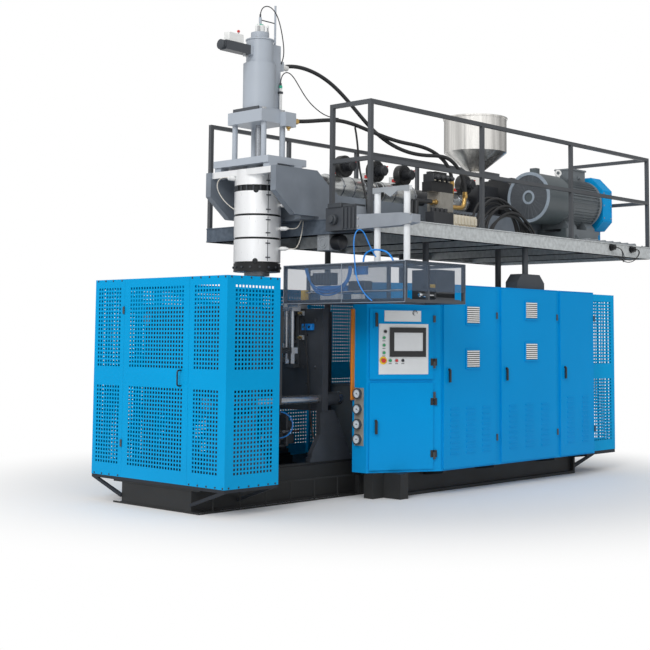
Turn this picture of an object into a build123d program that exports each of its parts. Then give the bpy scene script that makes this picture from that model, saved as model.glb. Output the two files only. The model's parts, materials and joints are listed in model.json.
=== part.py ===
from build123d import *
import math
import os

os.makedirs("parts", exist_ok=True)

# Blow moulding machine with an accumulator head. Millimetres, +Z up.
# The origin lies on the floor under the axis of the die head. X runs along the extruder, the
# guard cage is at -X, and the cabinets stand along the -Y side.

# Floor frames
clamp_base_left = 1250
clamp_base_right = 950
beam_inner = 410
beam_outer = 515
foot_inner = 390
foot_outer = 535
clamp_base_height = 220
foot_plate = 20
rail_beam_top = 330
rail_start = 1220
rail_inner = 435
rail_outer = 490
rail_top_z = 354
cross_beam_places = [-1250, -420, -65, 820]
cross_beam_width = 130
main_base_right = 4290
main_base_half = 1040
main_base_height = 250
main_beam = 130
anchor_radius = 13

# Guard cage and perforated sheets
guard_bottom = 250
guard_top = 2155
ring_low = 220
cage_left = 1270
cage_half = 985
cage_front_end = -610
sheet = 2.5
fold_depth = 22
fold_margin = 45
door_edge_front = -463
door_edge_back = 509
door_gap = 3
window_low = 365
window_mid_low = 1130
window_mid_high = 1300
window_high = 2080
fine_pitch = 155
fine_hole = 95
wide_pitch = 330
wide_hole = 200
angle_bar = 40
angle_wall = 5
strut = 30
outer_guard_right = 5050
outer_guard_front = 1140
handle_bar_radius = 9
handle_reach = 52

# Cabinets
cabinet_front = 1290
cabinet_back = 840
cabinet_wall = 3
cabinet_top = 2165
control_turn = 28
control_left = 683
control_left_front = 905
control_left_back = 715
main_left = 1400
main_right = 4330
partitions = [2376, 3546]
main_doors = [(1424, 2330), (2428, 3500), (3584, 4296)]
door_overlap = 14
door_bottom = 268
door_top = 2148
door_thick = 20
hinge_offset = 7
hinge_side = 1.5
hinge_radius = 6.7
hinge_height = 70
leaf_width = 18
louvre_low = 409
louvre_pitch = 57
louvre_height = 16
louvre_depth = 6
louvre_columns = [
    [(1533, 1684), (1803, 1958), (2082, 2223)],
    [(2572, 2720), (2880, 3028), (3189, 3337)],
    [(3722, 3863), (4034, 4165)],
]
louvre_rows = [9, 9, 10]
grille_places = [[(1908, 1851), (1908, 1388)], [(2986, 1921), (2986, 1461)], []]
grille_width = 245
grille_height = 210
grille_thick = 12
grille_slots = 6

# Controls on the turned face, as distances along the face and heights
upper_door_low = 1185
upper_door_high = 1895
lower_door_low = 278
lower_door_high = 1150
control_door_start = 26
control_door_end = 722
panel_start = 122
panel_end = 662
panel_low = 1235
panel_high = 1745
panel_thick = 6
bezel_box = (239, 630, 1413, 1708)
bezel_thick = 14
screen_box = (282, 599, 1470, 1658)
gauge_panel_box = (181, 580, 1770, 1880)
button_places = [(176, 1605), (176, 1529), (176, 1453), (244, 1375), (313, 1375)]
button_radius = 14
button_proud = 12
stop_place = (169, 1375)
stop_radius = 22
selector_place = (190, 1668)
key_place = (382, 1375)
knob_radius = 15
lever_length = 130
lever_width = 26
lever_thick = 12
handle_plate = 6
latch_places = [(91, 1845), (91, 770)]
main_latch_places = [(1499, 1280), (2506, 1280), (3660, 1280)]
gauge_heights = [1040, 885, 734, 584]
gauge_radius = 50
gauge_y = 806

# Clamp
platen_face = 440
platen_thick = 85
platen_half = 520
platen_low = 860
platen_high = 1895
rib_depth = 175
rib_thick = 40
rib_y = 250
leg_inner = 440
leg_outer = 500
shoe_height = 46
clamp_axis_z = 1375
tie_bars_at = [(-450, 980), (450, 1770)]
tie_bar_radius = 45
boss_radius = 70
nut_radius = 65
running_fit = 0.05
yoke_left = 1010
yoke_thick = 80
clamp_barrel_left = 1070
clamp_barrel_right = 620
clamp_barrel_radius = 150
clamp_bore_radius = 120
clamp_rod_radius = 60
piston_length = 40
mould_bolt_radius = 10
mould_bolt_depth = 40
mould_bolt_y = 600
mould_bolt_z = 500
stand_low = 530
stand_high = 860
pin_radius = 30
pin_top = 1020

# Platform, its lift and its rails
platform_left = 370
platform_right = 5830
platform_half = 1224
platform_low = 2645
platform_top = 2800
deck_thick = 8
channel_web = 12
channel_flange = 75
lift_x = [1817, 3150]
lift_y = 740
screw_radius = 35
tube_radius = 55
tube_top = 1900
jack_x = 3180
jack_y = -1100
jack_half = 270
jack_high = 2340
rail_tube = 42
rail_high = 3968
rail_mid = 3400
post_inset = 24
near_posts = [394, 2225, 3998, 5806]
far_posts = [394, 1610, 2800, 3998, 5806]
return_front = 680
return_end = 90

# Head and its cylinder: (low, high, radius) of the turned steps
head_steps = [
    (2222, 2262, 130), (2262, 2349, 240), (2349, 2361, 215), (2361, 2588, 240), (2588, 2609, 222),
    (2609, 2825, 240), (2825, 2846, 222), (2846, 3078, 240), (3078, 3140, 205), (3140, 3300, 240),
]
chamber_radius = 130
chamber_low = 2450
chamber_high = 3270
neck_radius = 125
ram_radius = 30
ram_travel = 300
stool_low = 3340
stool_thick = 70
stool_left = -250
stool_right = 290
stool_half_y = 410
column_radius = 28
column_x = 132
column_y = 216
upper_plate_low = 3780
upper_plate_high = 3905
upper_plate_half_x = 200
upper_plate_half_y = 255
cylinder_radius = 169
cylinder_radius_top = 141
cylinder_step = 4418
cylinder_top = 4662
cylinder_bore = 110
lug_places = [(-230, -120), (120, 230)]
lug_low = 3235
sensor_low = 4748
sensor_high = 4915
port_face = 300
port_z = 4438
servo_left = -505
servo_low = 4490
mast_x = 160
mast_y = -58
mast_radius = 11
mast_top = 5060
plate_valve_face = 210

# Extruder and its drive
bed_inner = 370
bed_outer = 450
bed_top = 3085
bed_left = 170
bed_right = 5100
cheek_outer = 525
cheek_left = 250
cheek_top = 3300
cheek_low = 2830
barrel_z = 3250
barrel_radius = 95
screw_line_radius = 60
barrel_left = 300
barrel_right = 3480
inlet_radius = 48
melt_channel = 15
shield_radius = 125
shields = [(960, 1740), (1830, 2400), (2900, 3400)]
blower_x = [1095, 1618, 2083, 3221]
saddle_x = [620, 2650]
feed_right = 3900
feed_high = 3480
gear_left = 4060
gear_right = 5080
gear_half = 320
gear_high = 3600
gear_chamfer = 130
hopper_x = 3690
hopper_radius = 390
hopper_rim = 4345
hopper_shoulder = 3910
hopper_tip = 3670
throat_radius = 90
hopper_wall = 4
motor_y = -650
motor_z = 3330
motor_radius = 310
rail_foot = 2975
motor_left = 3910
motor_cowl_end = 4400
motor_right = 5100
gear_shaft_z = 3400
shaft_radius = 30
manifold_x = (2050, 2290)
manifold_low = 3010
manifold_high = 3220
hose_radius = 21
elbow_a = (2580, -690, 3190)
elbow_b = (2430, -620, 3330)
hose_runs = [
    [(port_face + 12, -10, port_z), (560, -30, 4475), (900, -100, 4380), (1200, -210, 4120), (1450, -320, 3860),
     (1750, -440, 3690), (2080, -550, 3650), (2350, -640, 3630), (2530, -685, 3450), elbow_a],
    [(plate_valve_face + 12, -295, 3820), (500, -300, 3860), (900, -320, 3910), (1300, -370, 3850),
     (1750, -450, 3770), (2120, -540, 3720), (2350, -600, 3580), elbow_b],
]
pulley_left = 5220
pulley_right = 5350
belt_left = 5180
belt_right = 5400
belt_wall = 4

# Take-out unit
unit_left = 120
unit_right = 480
unit_inner = -270
unit_outer = -1890
unit_low = 1935
unit_high = 2325
unit_wide = 1030
unit_step = -1400
frame_tube = 30
clear_sheet = 5
arm_x = 300
arm_half = 60
arm_low = 2670
arm_high = 2790
guide_radius = 32
guide_y = [-1755, -1380]
guide_top = 3050


def block(x0, x1, y0, y1, z0, z1):
    """A box given by its corners."""
    middle = Pos((x0 + x1) / 2, (y0 + y1) / 2, (z0 + z1) / 2)
    return middle * Box(abs(x1 - x0), abs(y1 - y0), abs(z1 - z0))


def rod_x(x0, x1, y, z, radius):
    """A round bar along X."""
    return Pos((x0 + x1) / 2, y, z) * Rot(0, 90, 0) * Cylinder(radius, abs(x1 - x0))


def rod_y(x, y0, y1, z, radius):
    """A round bar along Y."""
    return Pos(x, (y0 + y1) / 2, z) * Rot(90, 0, 0) * Cylinder(radius, abs(y1 - y0))


def rod_z(x, y, z0, z1, radius):
    """A round bar along Z."""
    return Pos(x, y, (z0 + z1) / 2) * Cylinder(radius, abs(z1 - z0))


def side_profile(points, y0, y1):
    """A plate cut to a side outline of (x, z) points, between two Y values."""
    low, high = sorted((y0, y1))
    plane = Plane(origin=(0, high, 0), x_dir=(1, 0, 0), z_dir=(0, -1, 0))
    return plane.location * extrude(make_face(Polyline(*points, close=True)), amount=high - low)


def end_profile(points, x0, x1):
    """A plate cut to an end outline of (y, z) points, between two X values."""
    plane = Plane(origin=(x0, 0, 0), x_dir=(0, 1, 0), z_dir=(1, 0, 0))
    return plane.location * extrude(make_face(Polyline(*points, close=True)), amount=x1 - x0)


def both_sides(shape):
    """A piece and its mirror image across the centre plane of the machine."""
    return shape + mirror(shape, about=Plane.XZ)


def write(name, *pieces):
    """Write one node as a STEP file holding the given solids."""
    solids = [solid for piece in pieces for solid in piece.solids()]
    export_step(Compound(solids), f"parts/{name}.step")


# Planes of the faces that carry doors and sheets: x along the face, y up, z outward
left_face = Plane(origin=(-cage_left, 0, 0), x_dir=(0, -1, 0), z_dir=(-1, 0, 0))
cage_front_face = Plane(origin=(0, -cage_half, 0), x_dir=(1, 0, 0), z_dir=(0, -1, 0))
cage_rear_face = Plane(origin=(0, cage_half, 0), x_dir=(-1, 0, 0), z_dir=(0, 1, 0))
main_face = Plane(origin=(0, -cabinet_front, 0), x_dir=(1, 0, 0), z_dir=(0, -1, 0))
near_guard_face = Plane(origin=(0, -outer_guard_front, 0), x_dir=(1, 0, 0), z_dir=(0, -1, 0))
end_guard_face = Plane(origin=(outer_guard_right, 0, 0), x_dir=(0, 1, 0), z_dir=(1, 0, 0))
rear_guard_face = Plane(origin=(0, main_base_half, 0), x_dir=(-1, 0, 0), z_dir=(0, 1, 0))
turn = math.radians(control_turn)
face_along = (math.cos(turn), -math.sin(turn), 0)
face_out = (-math.sin(turn), -math.cos(turn), 0)
control_face = Plane(origin=(control_left, -control_left_front, 0), x_dir=face_along, z_dir=face_out)
control_length = (main_left - control_left) / math.cos(turn)
control_corner = -control_left_front - control_length * math.sin(turn)


def on_face(face, u0, u1, v0, v1, w0, w1):
    """A box given in the coordinates of a face: along, up, outward."""
    middle = Pos((u0 + u1) / 2, (v0 + v1) / 2, (w0 + w1) / 2)
    return face.location * middle * Box(abs(u1 - u0), abs(v1 - v0), abs(w1 - w0))


def disc_on_face(face, u, v, w0, w1, radius):
    """A round piece standing on a face."""
    return face.location * Pos(u, v, (w0 + w1) / 2) * Cylinder(radius, abs(w1 - w0))


def post_on_face(face, u, v0, v1, w, radius):
    """A vertical round piece in front of a face."""
    return face.location * Pos(u, (v0 + v1) / 2, w) * Rot(90, 0, 0) * Cylinder(radius, abs(v1 - v0))


def perforated_sheet(face, u0, u1, v0, v1, windows, pitch, hole, folds=False):
    """A sheet with square holes in each window (u0, u1, v0, v1), with or without folded side edges."""
    outline = Pos((u0 + u1) / 2, (v0 + v1) / 2) * Rectangle(u1 - u0, v1 - v0)
    for a, b, c, d in windows:
        columns = max(1, round((b - a) / pitch))
        rows = max(1, round((d - c) / pitch))
        middle = Pos((a + b) / 2, (c + d) / 2)
        places = GridLocations((b - a) / columns, (d - c) / rows, columns, rows)
        outline -= [middle * place * Rectangle(hole, hole) for place in places]
    panel = face.location * Pos(0, 0, -sheet) * extrude(outline, amount=sheet)
    if folds:
        for near, far in ((u0, u0 + sheet), (u1 - sheet, u1)):
            panel += on_face(face, near, far, v0 + fold_margin, v1 - fold_margin, -fold_depth, -sheet / 2)
    return panel


def two_windows(u0, u1):
    """The upper and lower window of one guard bay."""
    return [(u0, u1, window_low, window_mid_low), (u0, u1, window_mid_high, window_high)]


# Floor frames


def clamp_base():
    """Beam frame under the clamp, with anchor lugs, rail beams and hardened rails."""
    side = block(-clamp_base_left, clamp_base_right, foot_inner, foot_outer, 0, foot_plate)
    side += block(-clamp_base_left, clamp_base_right, beam_inner, beam_outer, foot_plate, clamp_base_height)
    side += block(-rail_start, clamp_base_right, beam_inner, beam_outer, clamp_base_height, rail_beam_top)
    for x in (-clamp_base_left + 190, clamp_base_right - 190):
        y = foot_outer + 45
        side += block(x - 60, x + 60, y - 50, y + 50, 0, foot_plate)
        side -= rod_z(x, y, -5, foot_plate + 5, anchor_radius)
    rail = block(-rail_start, clamp_base_right - 10, rail_inner, rail_outer, rail_beam_top, rail_top_z)
    beams = []
    for x in cross_beam_places:
        beam = block(x, x + cross_beam_width, -beam_inner, beam_inner, foot_plate, clamp_base_height)
        beam += block(x, x + cross_beam_width, -foot_inner, foot_inner, 0, foot_plate)
        beams.append(beam)
    pair = [side, rail]
    write("clamp_base", *pair, *[mirror(piece, about=Plane.XZ) for piece in pair], *beams)


def main_base():
    """Beam frame under the cabinets, with arms under their overhang and an outrigger."""
    half = main_base_half
    solid = block(clamp_base_right, main_base_right, -half, half, 0, main_base_height)
    bays = 4
    bay = (main_base_right - clamp_base_right - main_beam) / bays
    for number in range(bays):
        x = clamp_base_right + main_beam + number * bay
        for y in (-half + main_beam, main_beam / 2):
            solid -= block(x, x + bay - main_beam, y, y + half - 1.5 * main_beam, -5, main_base_height - foot_plate)
    for y in (-half - 5, half - 45):
        solid -= block(clamp_base_right + 30, main_base_right - 30, y, y + 50, 30, main_base_height - 30)
    reach = cabinet_front - 30
    arm = [(-half + 60, 190), (-half, 190), (-reach, main_base_height - 30), (-reach, main_base_height),
           (-half + 60, main_base_height)]
    for x in (1500, partitions[0], partitions[1], main_base_right - 60):
        solid += end_profile(arm, x - 25, x + 25)
    solid += block(control_left + 20, clamp_base_right + 20, -half + 60, -half + 180, 0, main_base_height)
    solid += block(clamp_base_right - 80, clamp_base_right + 40, -half - 160, -half + 60, 0, main_base_height)
    write("main_base", solid)


# Guard cage


def angle_bars(boxes, inside, z):
    """Angle bars laid flat: the listed (x0, x1, y0, y1) bars, hollowed inside the given rectangle."""
    x0, x1, y0, y1 = inside
    hollow = block(x0, x1, y0, y1, z + angle_wall, z + angle_bar + 1)
    return [block(*bar, z, z + angle_bar) - hollow for bar in boxes]


def cage_frame():
    """Angle frames that carry the sheets, with posts and the diagonal struts down to the bases."""
    left = -cage_left + sheet
    edge = cage_half - sheet
    right = clamp_base_right
    front_end = cage_front_end - 2
    bars = [(left, right, edge - angle_bar, edge), (left, left + angle_bar, -edge + angle_bar, edge - angle_bar),
            (left, front_end, -edge, -edge + angle_bar)]
    inside = (left + angle_wall, right + 1, -edge + angle_wall, edge - angle_wall)
    pieces = angle_bars(bars, inside, ring_low) + angle_bars(bars, inside, guard_top - angle_bar)
    posts = [(left, -edge), (front_end - angle_bar, -edge), (left, edge - angle_bar),
             (right - angle_bar, edge - angle_bar), (-160, edge - angle_bar),
             (left, door_edge_back + 2), (left, door_edge_front - 2 - angle_bar)]
    for x, y in posts:
        pieces.append(block(x, x + angle_bar, y, y + angle_bar, ring_low + angle_bar, guard_top - angle_bar))
    brace = [(edge, ring_low), (edge - 82, ring_low), (beam_outer, 92), (beam_outer, 60)]
    for x in (left, -690):
        strut_bar = end_profile(brace, x, x + strut)
        pieces += [strut_bar, mirror(strut_bar, about=Plane.XZ)]
    write("cage_frame", *pieces, *end_frame())


def end_frame():
    """Frame of the guard around the drive end and along the rear."""
    near = -outer_guard_front + sheet
    right = outer_guard_right - sheet
    far = main_base_half - sheet
    arm_edge = main_base_right - 35
    low = main_base_height - angle_bar
    bottom = [(arm_edge, right - angle_bar, near, near + angle_bar), (right - angle_bar, right, near, far),
              (main_base_right, right - angle_bar, far - angle_bar, far)]
    inside = (main_base_right + 50, right - angle_wall, near + angle_wall, far - angle_wall)
    pieces = angle_bars(bottom, inside, low)
    top = [(main_right, right - angle_bar, near, near + angle_bar), (right - angle_bar, right, near, far),
           (clamp_base_right, right - angle_bar, far - angle_bar, far)]
    inside = (clamp_base_right - 1, right - angle_wall, near + angle_wall, far - angle_wall)
    pieces += angle_bars(top, inside, guard_top - angle_bar)
    post_top = guard_top - angle_bar
    for x, y in ((right - angle_bar, near), (right - angle_bar, far - angle_bar), (main_right, near)):
        pieces.append(block(x, x + angle_bar, y, y + angle_bar, main_base_height, post_top))
    for x in (clamp_base_right, 1785, 2620, 3455, main_base_right - 50):
        pieces.append(block(x, x + angle_bar, far - angle_bar, far, main_base_height, post_top))
    brace = [(main_base_right, 60), (main_base_right, 100), (main_base_right + 420, low), (main_base_right + 520, low)]
    brace_y = -main_base_half + 10
    pieces.append(side_profile(brace, far - angle_bar, far - angle_bar + strut))
    pieces.append(side_profile(brace, brace_y, brace_y + strut))
    plate = (main_base_right + 380, main_base_right + 560)
    pieces.append(block(*plate, near + angle_bar, brace_y + strut, low, low + angle_wall))
    return pieces


def guard_panels():
    """Perforated sheets of the guard cage, without its door."""
    narrow = perforated_sheet(left_face, -cage_half, -door_edge_back - door_gap, guard_bottom, guard_top,
                              two_windows(-922, -572), fine_pitch, fine_hole)
    corner = perforated_sheet(left_face, -door_edge_front + door_gap, cage_half, guard_bottom, guard_top,
                              two_windows(542, 887), fine_pitch, fine_hole)
    front = perforated_sheet(cage_front_face, -cage_left + sheet, cage_front_end, guard_bottom, guard_top,
                             two_windows(-1174, -683), fine_pitch, fine_hole)
    rear = perforated_sheet(cage_rear_face, -clamp_base_right, cage_left - sheet, guard_bottom, guard_top,
                            two_windows(-880, 100) + two_windows(200, 1180), wide_pitch, wide_hole)
    write("guard_panels", narrow, corner, front, rear)


def outer_guard():
    """Perforated sheets around the drive end and along the rear of the main base."""
    near = perforated_sheet(near_guard_face, main_right, outer_guard_right - sheet, guard_bottom, guard_top,
                            two_windows(4400, 4980), fine_pitch, fine_hole)
    end = perforated_sheet(end_guard_face, -outer_guard_front, main_base_half - sheet, guard_bottom, guard_top,
                           two_windows(-1040, -100) + two_windows(0, 940), wide_pitch, wide_hole)
    bays = []
    for x in (1010, 2040, 3070, 4100):
        bays += two_windows(-x - 880, -x)
    rear = perforated_sheet(rear_guard_face, -outer_guard_right, -clamp_base_right, guard_bottom, guard_top,
                            bays, wide_pitch, wide_hole)
    write("outer_guard", near, end, rear)


def cage_door():
    """Hinged door of the cage, with a bow handle."""
    door = perforated_sheet(left_face, -door_edge_back, -door_edge_front, guard_bottom, guard_top,
                            two_windows(-423, 380), fine_pitch, fine_hole, folds=True)
    u = 364
    bow = post_on_face(left_face, u, 1150 - handle_bar_radius, 1290 + handle_bar_radius, handle_reach, handle_bar_radius)
    for v in (1150, 1290):
        bow += disc_on_face(left_face, u, v, 0, handle_reach, handle_bar_radius - 1.5)
    write("cage_door", door, bow)


# Cabinets


def hinge(face, u, v, w, side):
    """One hinge: a barrel, and a leaf on the fixed side."""
    low = v - hinge_height / 2
    high = v + hinge_height / 2
    leaf = on_face(face, u + side * 2, u + side * (2 + leaf_width), low, high, 0, w + 2)
    return leaf + post_on_face(face, u, low, high, w, hinge_radius)


def door_hinges():
    """Every hinge of the cage door and of the cabinet doors."""
    w = door_thick + hinge_offset
    pieces = [hinge(left_face, -door_edge_back - hinge_side, v, hinge_offset, -1) for v in (575, 1852)]
    for v in (410, 1020, 1330, 1800):
        pieces.append(hinge(control_face, control_door_end + hinge_side, v, w, 1))
    for start, end in main_doors:
        for v in (545, 1852):
            pieces.append(hinge(main_face, end + hinge_side, v, w, 1))
    write("door_hinges", *pieces)


def cabinet_shell(points):
    """A closed sheet box with the given plan outline."""
    outline = make_face(Polyline(*points, close=True))
    inner = offset(outline, amount=-cabinet_wall)
    height = cabinet_top - guard_bottom
    shell = Pos(0, 0, guard_bottom) * extrude(outline, amount=height)
    hollow = Pos(0, 0, guard_bottom + cabinet_wall) * extrude(inner, amount=height - 2 * cabinet_wall)
    return shell - hollow


def mounting_plate(x0, x1, back, rows):
    """Mounting plate on two rails against the back wall, with rows of switchgear."""
    plate = block(x0, x1, back - 40, back - 37, 330, 2080)
    for x in (x0 + 40, x1 - 80):
        plate += block(x, x + 40, back - 37, back - cabinet_wall, 330, 2080)
    for z, height in rows:
        plate += block(x0 + 60, x1 - 60, back - 120, back - 40, z, z + height)
    return plate


def control_cabinet():
    """Cabinet with the turned operator face; its mounting plate stands inside."""
    back = -control_left_back
    corners = [(control_left, back), (control_left, -control_left_front), (main_left, control_corner), (main_left, back)]
    shell = cabinet_shell(corners)
    u0 = control_door_start + door_overlap
    u1 = control_door_end - door_overlap
    for low, high in ((lower_door_low, lower_door_high), (upper_door_low, upper_door_high)):
        shell -= on_face(control_face, u0, u1, low + door_overlap, high - door_overlap, -cabinet_wall - 2, 2)
    rows = [(520, 150), (900, 170), (1280, 150), (1660, 170)]
    write("control_cabinet", shell, mounting_plate(control_left + 60, main_left - 60, back, rows))


def main_cabinets():
    """Three cabinets in one row, bolted from roof, floor, back, ends, stiles and rails."""
    front, back, t = -cabinet_front, -cabinet_back, cabinet_wall
    low, top = guard_bottom, cabinet_top
    panels = [block(main_left, main_right, front, back, low, low + t),
              block(main_left, main_right, front, back, top - t, top),
              block(main_left, main_right, back - t, back, low + t, top - t)]
    for x in (main_left, *partitions, main_right - t):
        panels.append(block(x, x + t, front, back - t, low + t, top - t))
    cells = [main_left, *partitions, main_right - t]
    rows = [(480, 170), (900, 170), (1320, 170), (1740, 170)]
    mouth_low, mouth_top = door_bottom + door_overlap, door_top - door_overlap
    for (start, end), left, right in zip(main_doors, cells, cells[1:]):
        mouth_left, mouth_right = start + door_overlap, end - door_overlap
        panels += [block(left + t, mouth_left, front, front + t, low + t, top - t),
                   block(mouth_right, right, front, front + t, low + t, top - t),
                   block(mouth_left, mouth_right, front, front + t, low + t, mouth_low),
                   block(mouth_left, mouth_right, front, front + t, mouth_top, top - t),
                   mounting_plate(start + 60, end - 60, back, rows)]
    write("main_cabinets", *panels)


def door_plate(face, start, end, low, high, latch):
    """A plain door with the plate of its latch handle."""
    u, v = latch
    door = on_face(face, start, end, low, high, 0, door_thick)
    return door + on_face(face, u - 26, u + 26, v - 146, v + 25, door_thick, door_thick + handle_plate)


def filter_grille(x, z):
    """Slotted filter grille on the front of a cabinet door."""
    half = grille_width / 2
    low = z - grille_height / 2
    grille = on_face(main_face, x - half, x + half, low, low + grille_height, door_thick, door_thick + grille_thick)
    pitch = (grille_height - 40) / grille_slots
    for row in range(grille_slots):
        start = low + 20 + row * pitch + pitch * 0.2
        grille -= on_face(main_face, x - half + 20, x + half - 20, start, start + pitch * 0.6,
                          door_thick - 5, door_thick + grille_thick + 5)
    return grille


def cabinet_doors():
    """Doors of the main cabinets, with louvres and filter grilles."""
    for number, (start, end) in enumerate(main_doors):
        door = door_plate(main_face, start, end, door_bottom, door_top, main_latch_places[number])
        for a, b in louvre_columns[number]:
            for row in range(louvre_rows[number]):
                z = louvre_low + row * louvre_pitch
                door += on_face(main_face, a, b, z, z + louvre_height, door_thick, door_thick + louvre_depth)
        grilles = []
        for x, z in grille_places[number]:
            wide = grille_width / 2 - 20
            tall = grille_height / 2 - 20
            door -= on_face(main_face, x - wide, x + wide, z - tall, z + tall, -5, door_thick + 5)
            grilles.append(filter_grille(x, z))
        write(f"cabinet_door_{number + 1}", door, *grilles)


def control_doors():
    """Upper and lower door of the turned face; the upper one has pockets behind its buttons."""
    start, end = control_door_start, control_door_end
    upper = door_plate(control_face, start, end, upper_door_low, upper_door_high, latch_places[0])
    for u, v in button_places + [stop_place]:
        upper -= disc_on_face(control_face, u, v, door_thick - 8, door_thick + 1, button_radius + 1)
    write("control_upper_door", upper)
    write("control_lower_door", door_plate(control_face, start, end, lower_door_low, lower_door_high, latch_places[1]))


def control_panel():
    """Panel with the screen and the button plate, and the small instrument panel above it."""
    w = door_thick
    front = w + panel_thick
    plate = on_face(control_face, panel_start, panel_end, panel_low, panel_high, w, front)
    for u, v in button_places:
        plate += disc_on_face(control_face, u, v, front, front + 3, button_radius + 5)
        plate -= disc_on_face(control_face, u, v, w - 1, front + 4, button_radius + running_fit)
    u, v = stop_place
    plate -= disc_on_face(control_face, u, v, w - 1, front + 1, button_radius + running_fit)
    u0, u1, v0, v1 = bezel_box
    plate += on_face(control_face, u0, u1, v0, v1, front, front + bezel_thick)
    u0, u1, v0, v1 = screen_box
    plate -= on_face(control_face, u0, u1, v0, v1, front + bezel_thick - 4, front + bezel_thick + 1)
    u0, u1, v0, v1 = gauge_panel_box
    upper = on_face(control_face, u0, u1, v0, v1, w, w + 8)
    upper += disc_on_face(control_face, u1 - 67, v1 - 30, w + 8, w + 26, 17)
    write("control_panel", plate, upper)


def switches():
    """Buttons, emergency stop, selector and key switch of the control panel."""
    w = door_thick
    front = w + panel_thick
    for number, (u, v) in enumerate(button_places):
        cap = disc_on_face(control_face, u, v, w, front + button_proud, button_radius)
        write(f"push_button_{number + 1}", cap)
    u, v = stop_place
    stop = disc_on_face(control_face, u, v, w, front + 8, button_radius)
    stop += disc_on_face(control_face, u, v, front + 8, front + 22, stop_radius)
    write("emergency_stop", stop)
    u, v = selector_place
    selector = disc_on_face(control_face, u, v, front, front + 8, knob_radius)
    selector += on_face(control_face, u - 4, u + 4, v - knob_radius + 2, v + knob_radius - 2, front + 7, front + 20)
    write("selector_switch", selector)
    u, v = key_place
    key = disc_on_face(control_face, u, v, front, front + 8, knob_radius)
    key += on_face(control_face, u - 1.5, u + 1.5, v - 11, v + 11, front + 7, front + 34)
    write("key_switch", key)


def latch_handle(number, face, place):
    """Turning lever of a door latch, hanging straight down when shut."""
    u, v = place
    w = door_thick + handle_plate
    half = lever_width / 2
    lever = disc_on_face(face, u, v, w, w + 14, half)
    lever += on_face(face, u - half, u + half, v - lever_length, v, w + 12, w + 12 + lever_thick)
    write(f"latch_handle_{number}", lever)


def latch_handles():
    """The five latch levers."""
    latch_handle(1, control_face, latch_places[0])
    latch_handle(2, control_face, latch_places[1])
    for number, place in enumerate(main_latch_places):
        latch_handle(number + 3, main_face, place)


def pressure_gauges():
    """Row of gauges on a plate on the side of the control cabinet."""
    x = control_left
    plate = block(x - 5, x, -870, -746, 519, 1097)
    for z in gauge_heights:
        plate += rod_x(x - 40, x - 5, -gauge_y, z, gauge_radius)
        plate -= rod_x(x - 41, x - 36, -gauge_y, z, gauge_radius - 6)
    write("pressure_gauges", plate)


def light_curtain():
    """Two light-curtain strips at the sides of the operator opening."""
    cabinet_strip = block(control_left - 35, control_left, -742, -718, 975, 1895)
    x = cage_front_end - 2
    y = -cage_half + sheet
    write("light_curtain", cabinet_strip, block(x, x + 35, y, y + 30, 975, 1895))


def power_unit():
    """Oil tank of the hydraulics with a pump and its motor on top."""
    tank = block(1930, 3020, 40, 880, main_base_height, 1050)
    tank -= block(1936, 3014, 46, 874, main_base_height + 6, 1044)
    tank += block(1920, 3030, 30, 890, 1050, 1062)
    motor = rod_x(2040, 2540, 400, 1292, 190) + block(2070, 2510, 230, 570, 1062, 1150)
    motor += rod_x(2540, 2720, 400, 1292, 120) + rod_x(2720, 2910, 400, 1292, 85)
    write("power_unit", tank, motor)


# Clamp


def platen_body(side):
    """One platen with ribs, tie-bar bosses, legs and shoes; side is 1 at the right, -1 at the left."""
    face = platen_face
    back = platen_face + platen_thick
    body = block(face, back, -platen_half, platen_half, platen_low, platen_high)
    rib = [(back - 1, platen_low), (back + rib_depth, platen_low + 120), (back + rib_depth, platen_high - 250),
           (back - 1, platen_high)]
    body += both_sides(side_profile(rib, rib_y - rib_thick / 2, rib_y + rib_thick / 2))
    low = rail_top_z + shoe_height
    leg = [(face - 120, low), (back + 355, low), (back + 355, low + 39), (back + 120, platen_low + 1),
           (face, platen_low + 1), (face, 620), (face - 120, low + 39)]
    body += both_sides(side_profile(leg, leg_inner, leg_outer))
    body += both_sides(block(face - 140, back + 385, rail_inner, leg_outer, rail_top_z, low))
    for y, z in tie_bars_at:
        body += rod_x(back - 1, back + rib_depth, y, z, boss_radius)
    for y, z in tie_bars_at:
        body -= rod_x(face - 1, back + rib_depth + 1, y, z, tie_bar_radius + running_fit)
    for y in (-mould_bolt_y / 2, mould_bolt_y / 2):
        for z in (clamp_axis_z - mould_bolt_z / 2, clamp_axis_z + mould_bolt_z / 2):
            body -= rod_x(face - 1, face + mould_bolt_depth, y, z, mould_bolt_radius)
    return body if side > 0 else mirror(body, about=Plane.YZ)


def tie_bars():
    """Two tie bars at opposite corners, with their nuts and collars."""
    left = -yoke_left
    back = platen_face + platen_thick + rib_depth
    bars = []
    for y, z in tie_bars_at:
        bar = rod_x(left - 30, back + 85, y, z, tie_bar_radius)
        for x, length in ((back, 60), (left - 30, 30), (left + yoke_thick, 30)):
            bar += rod_x(x, x + length, y, z, nut_radius)
        bars.append(bar)
    write("tie_bars", *bars)


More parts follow.
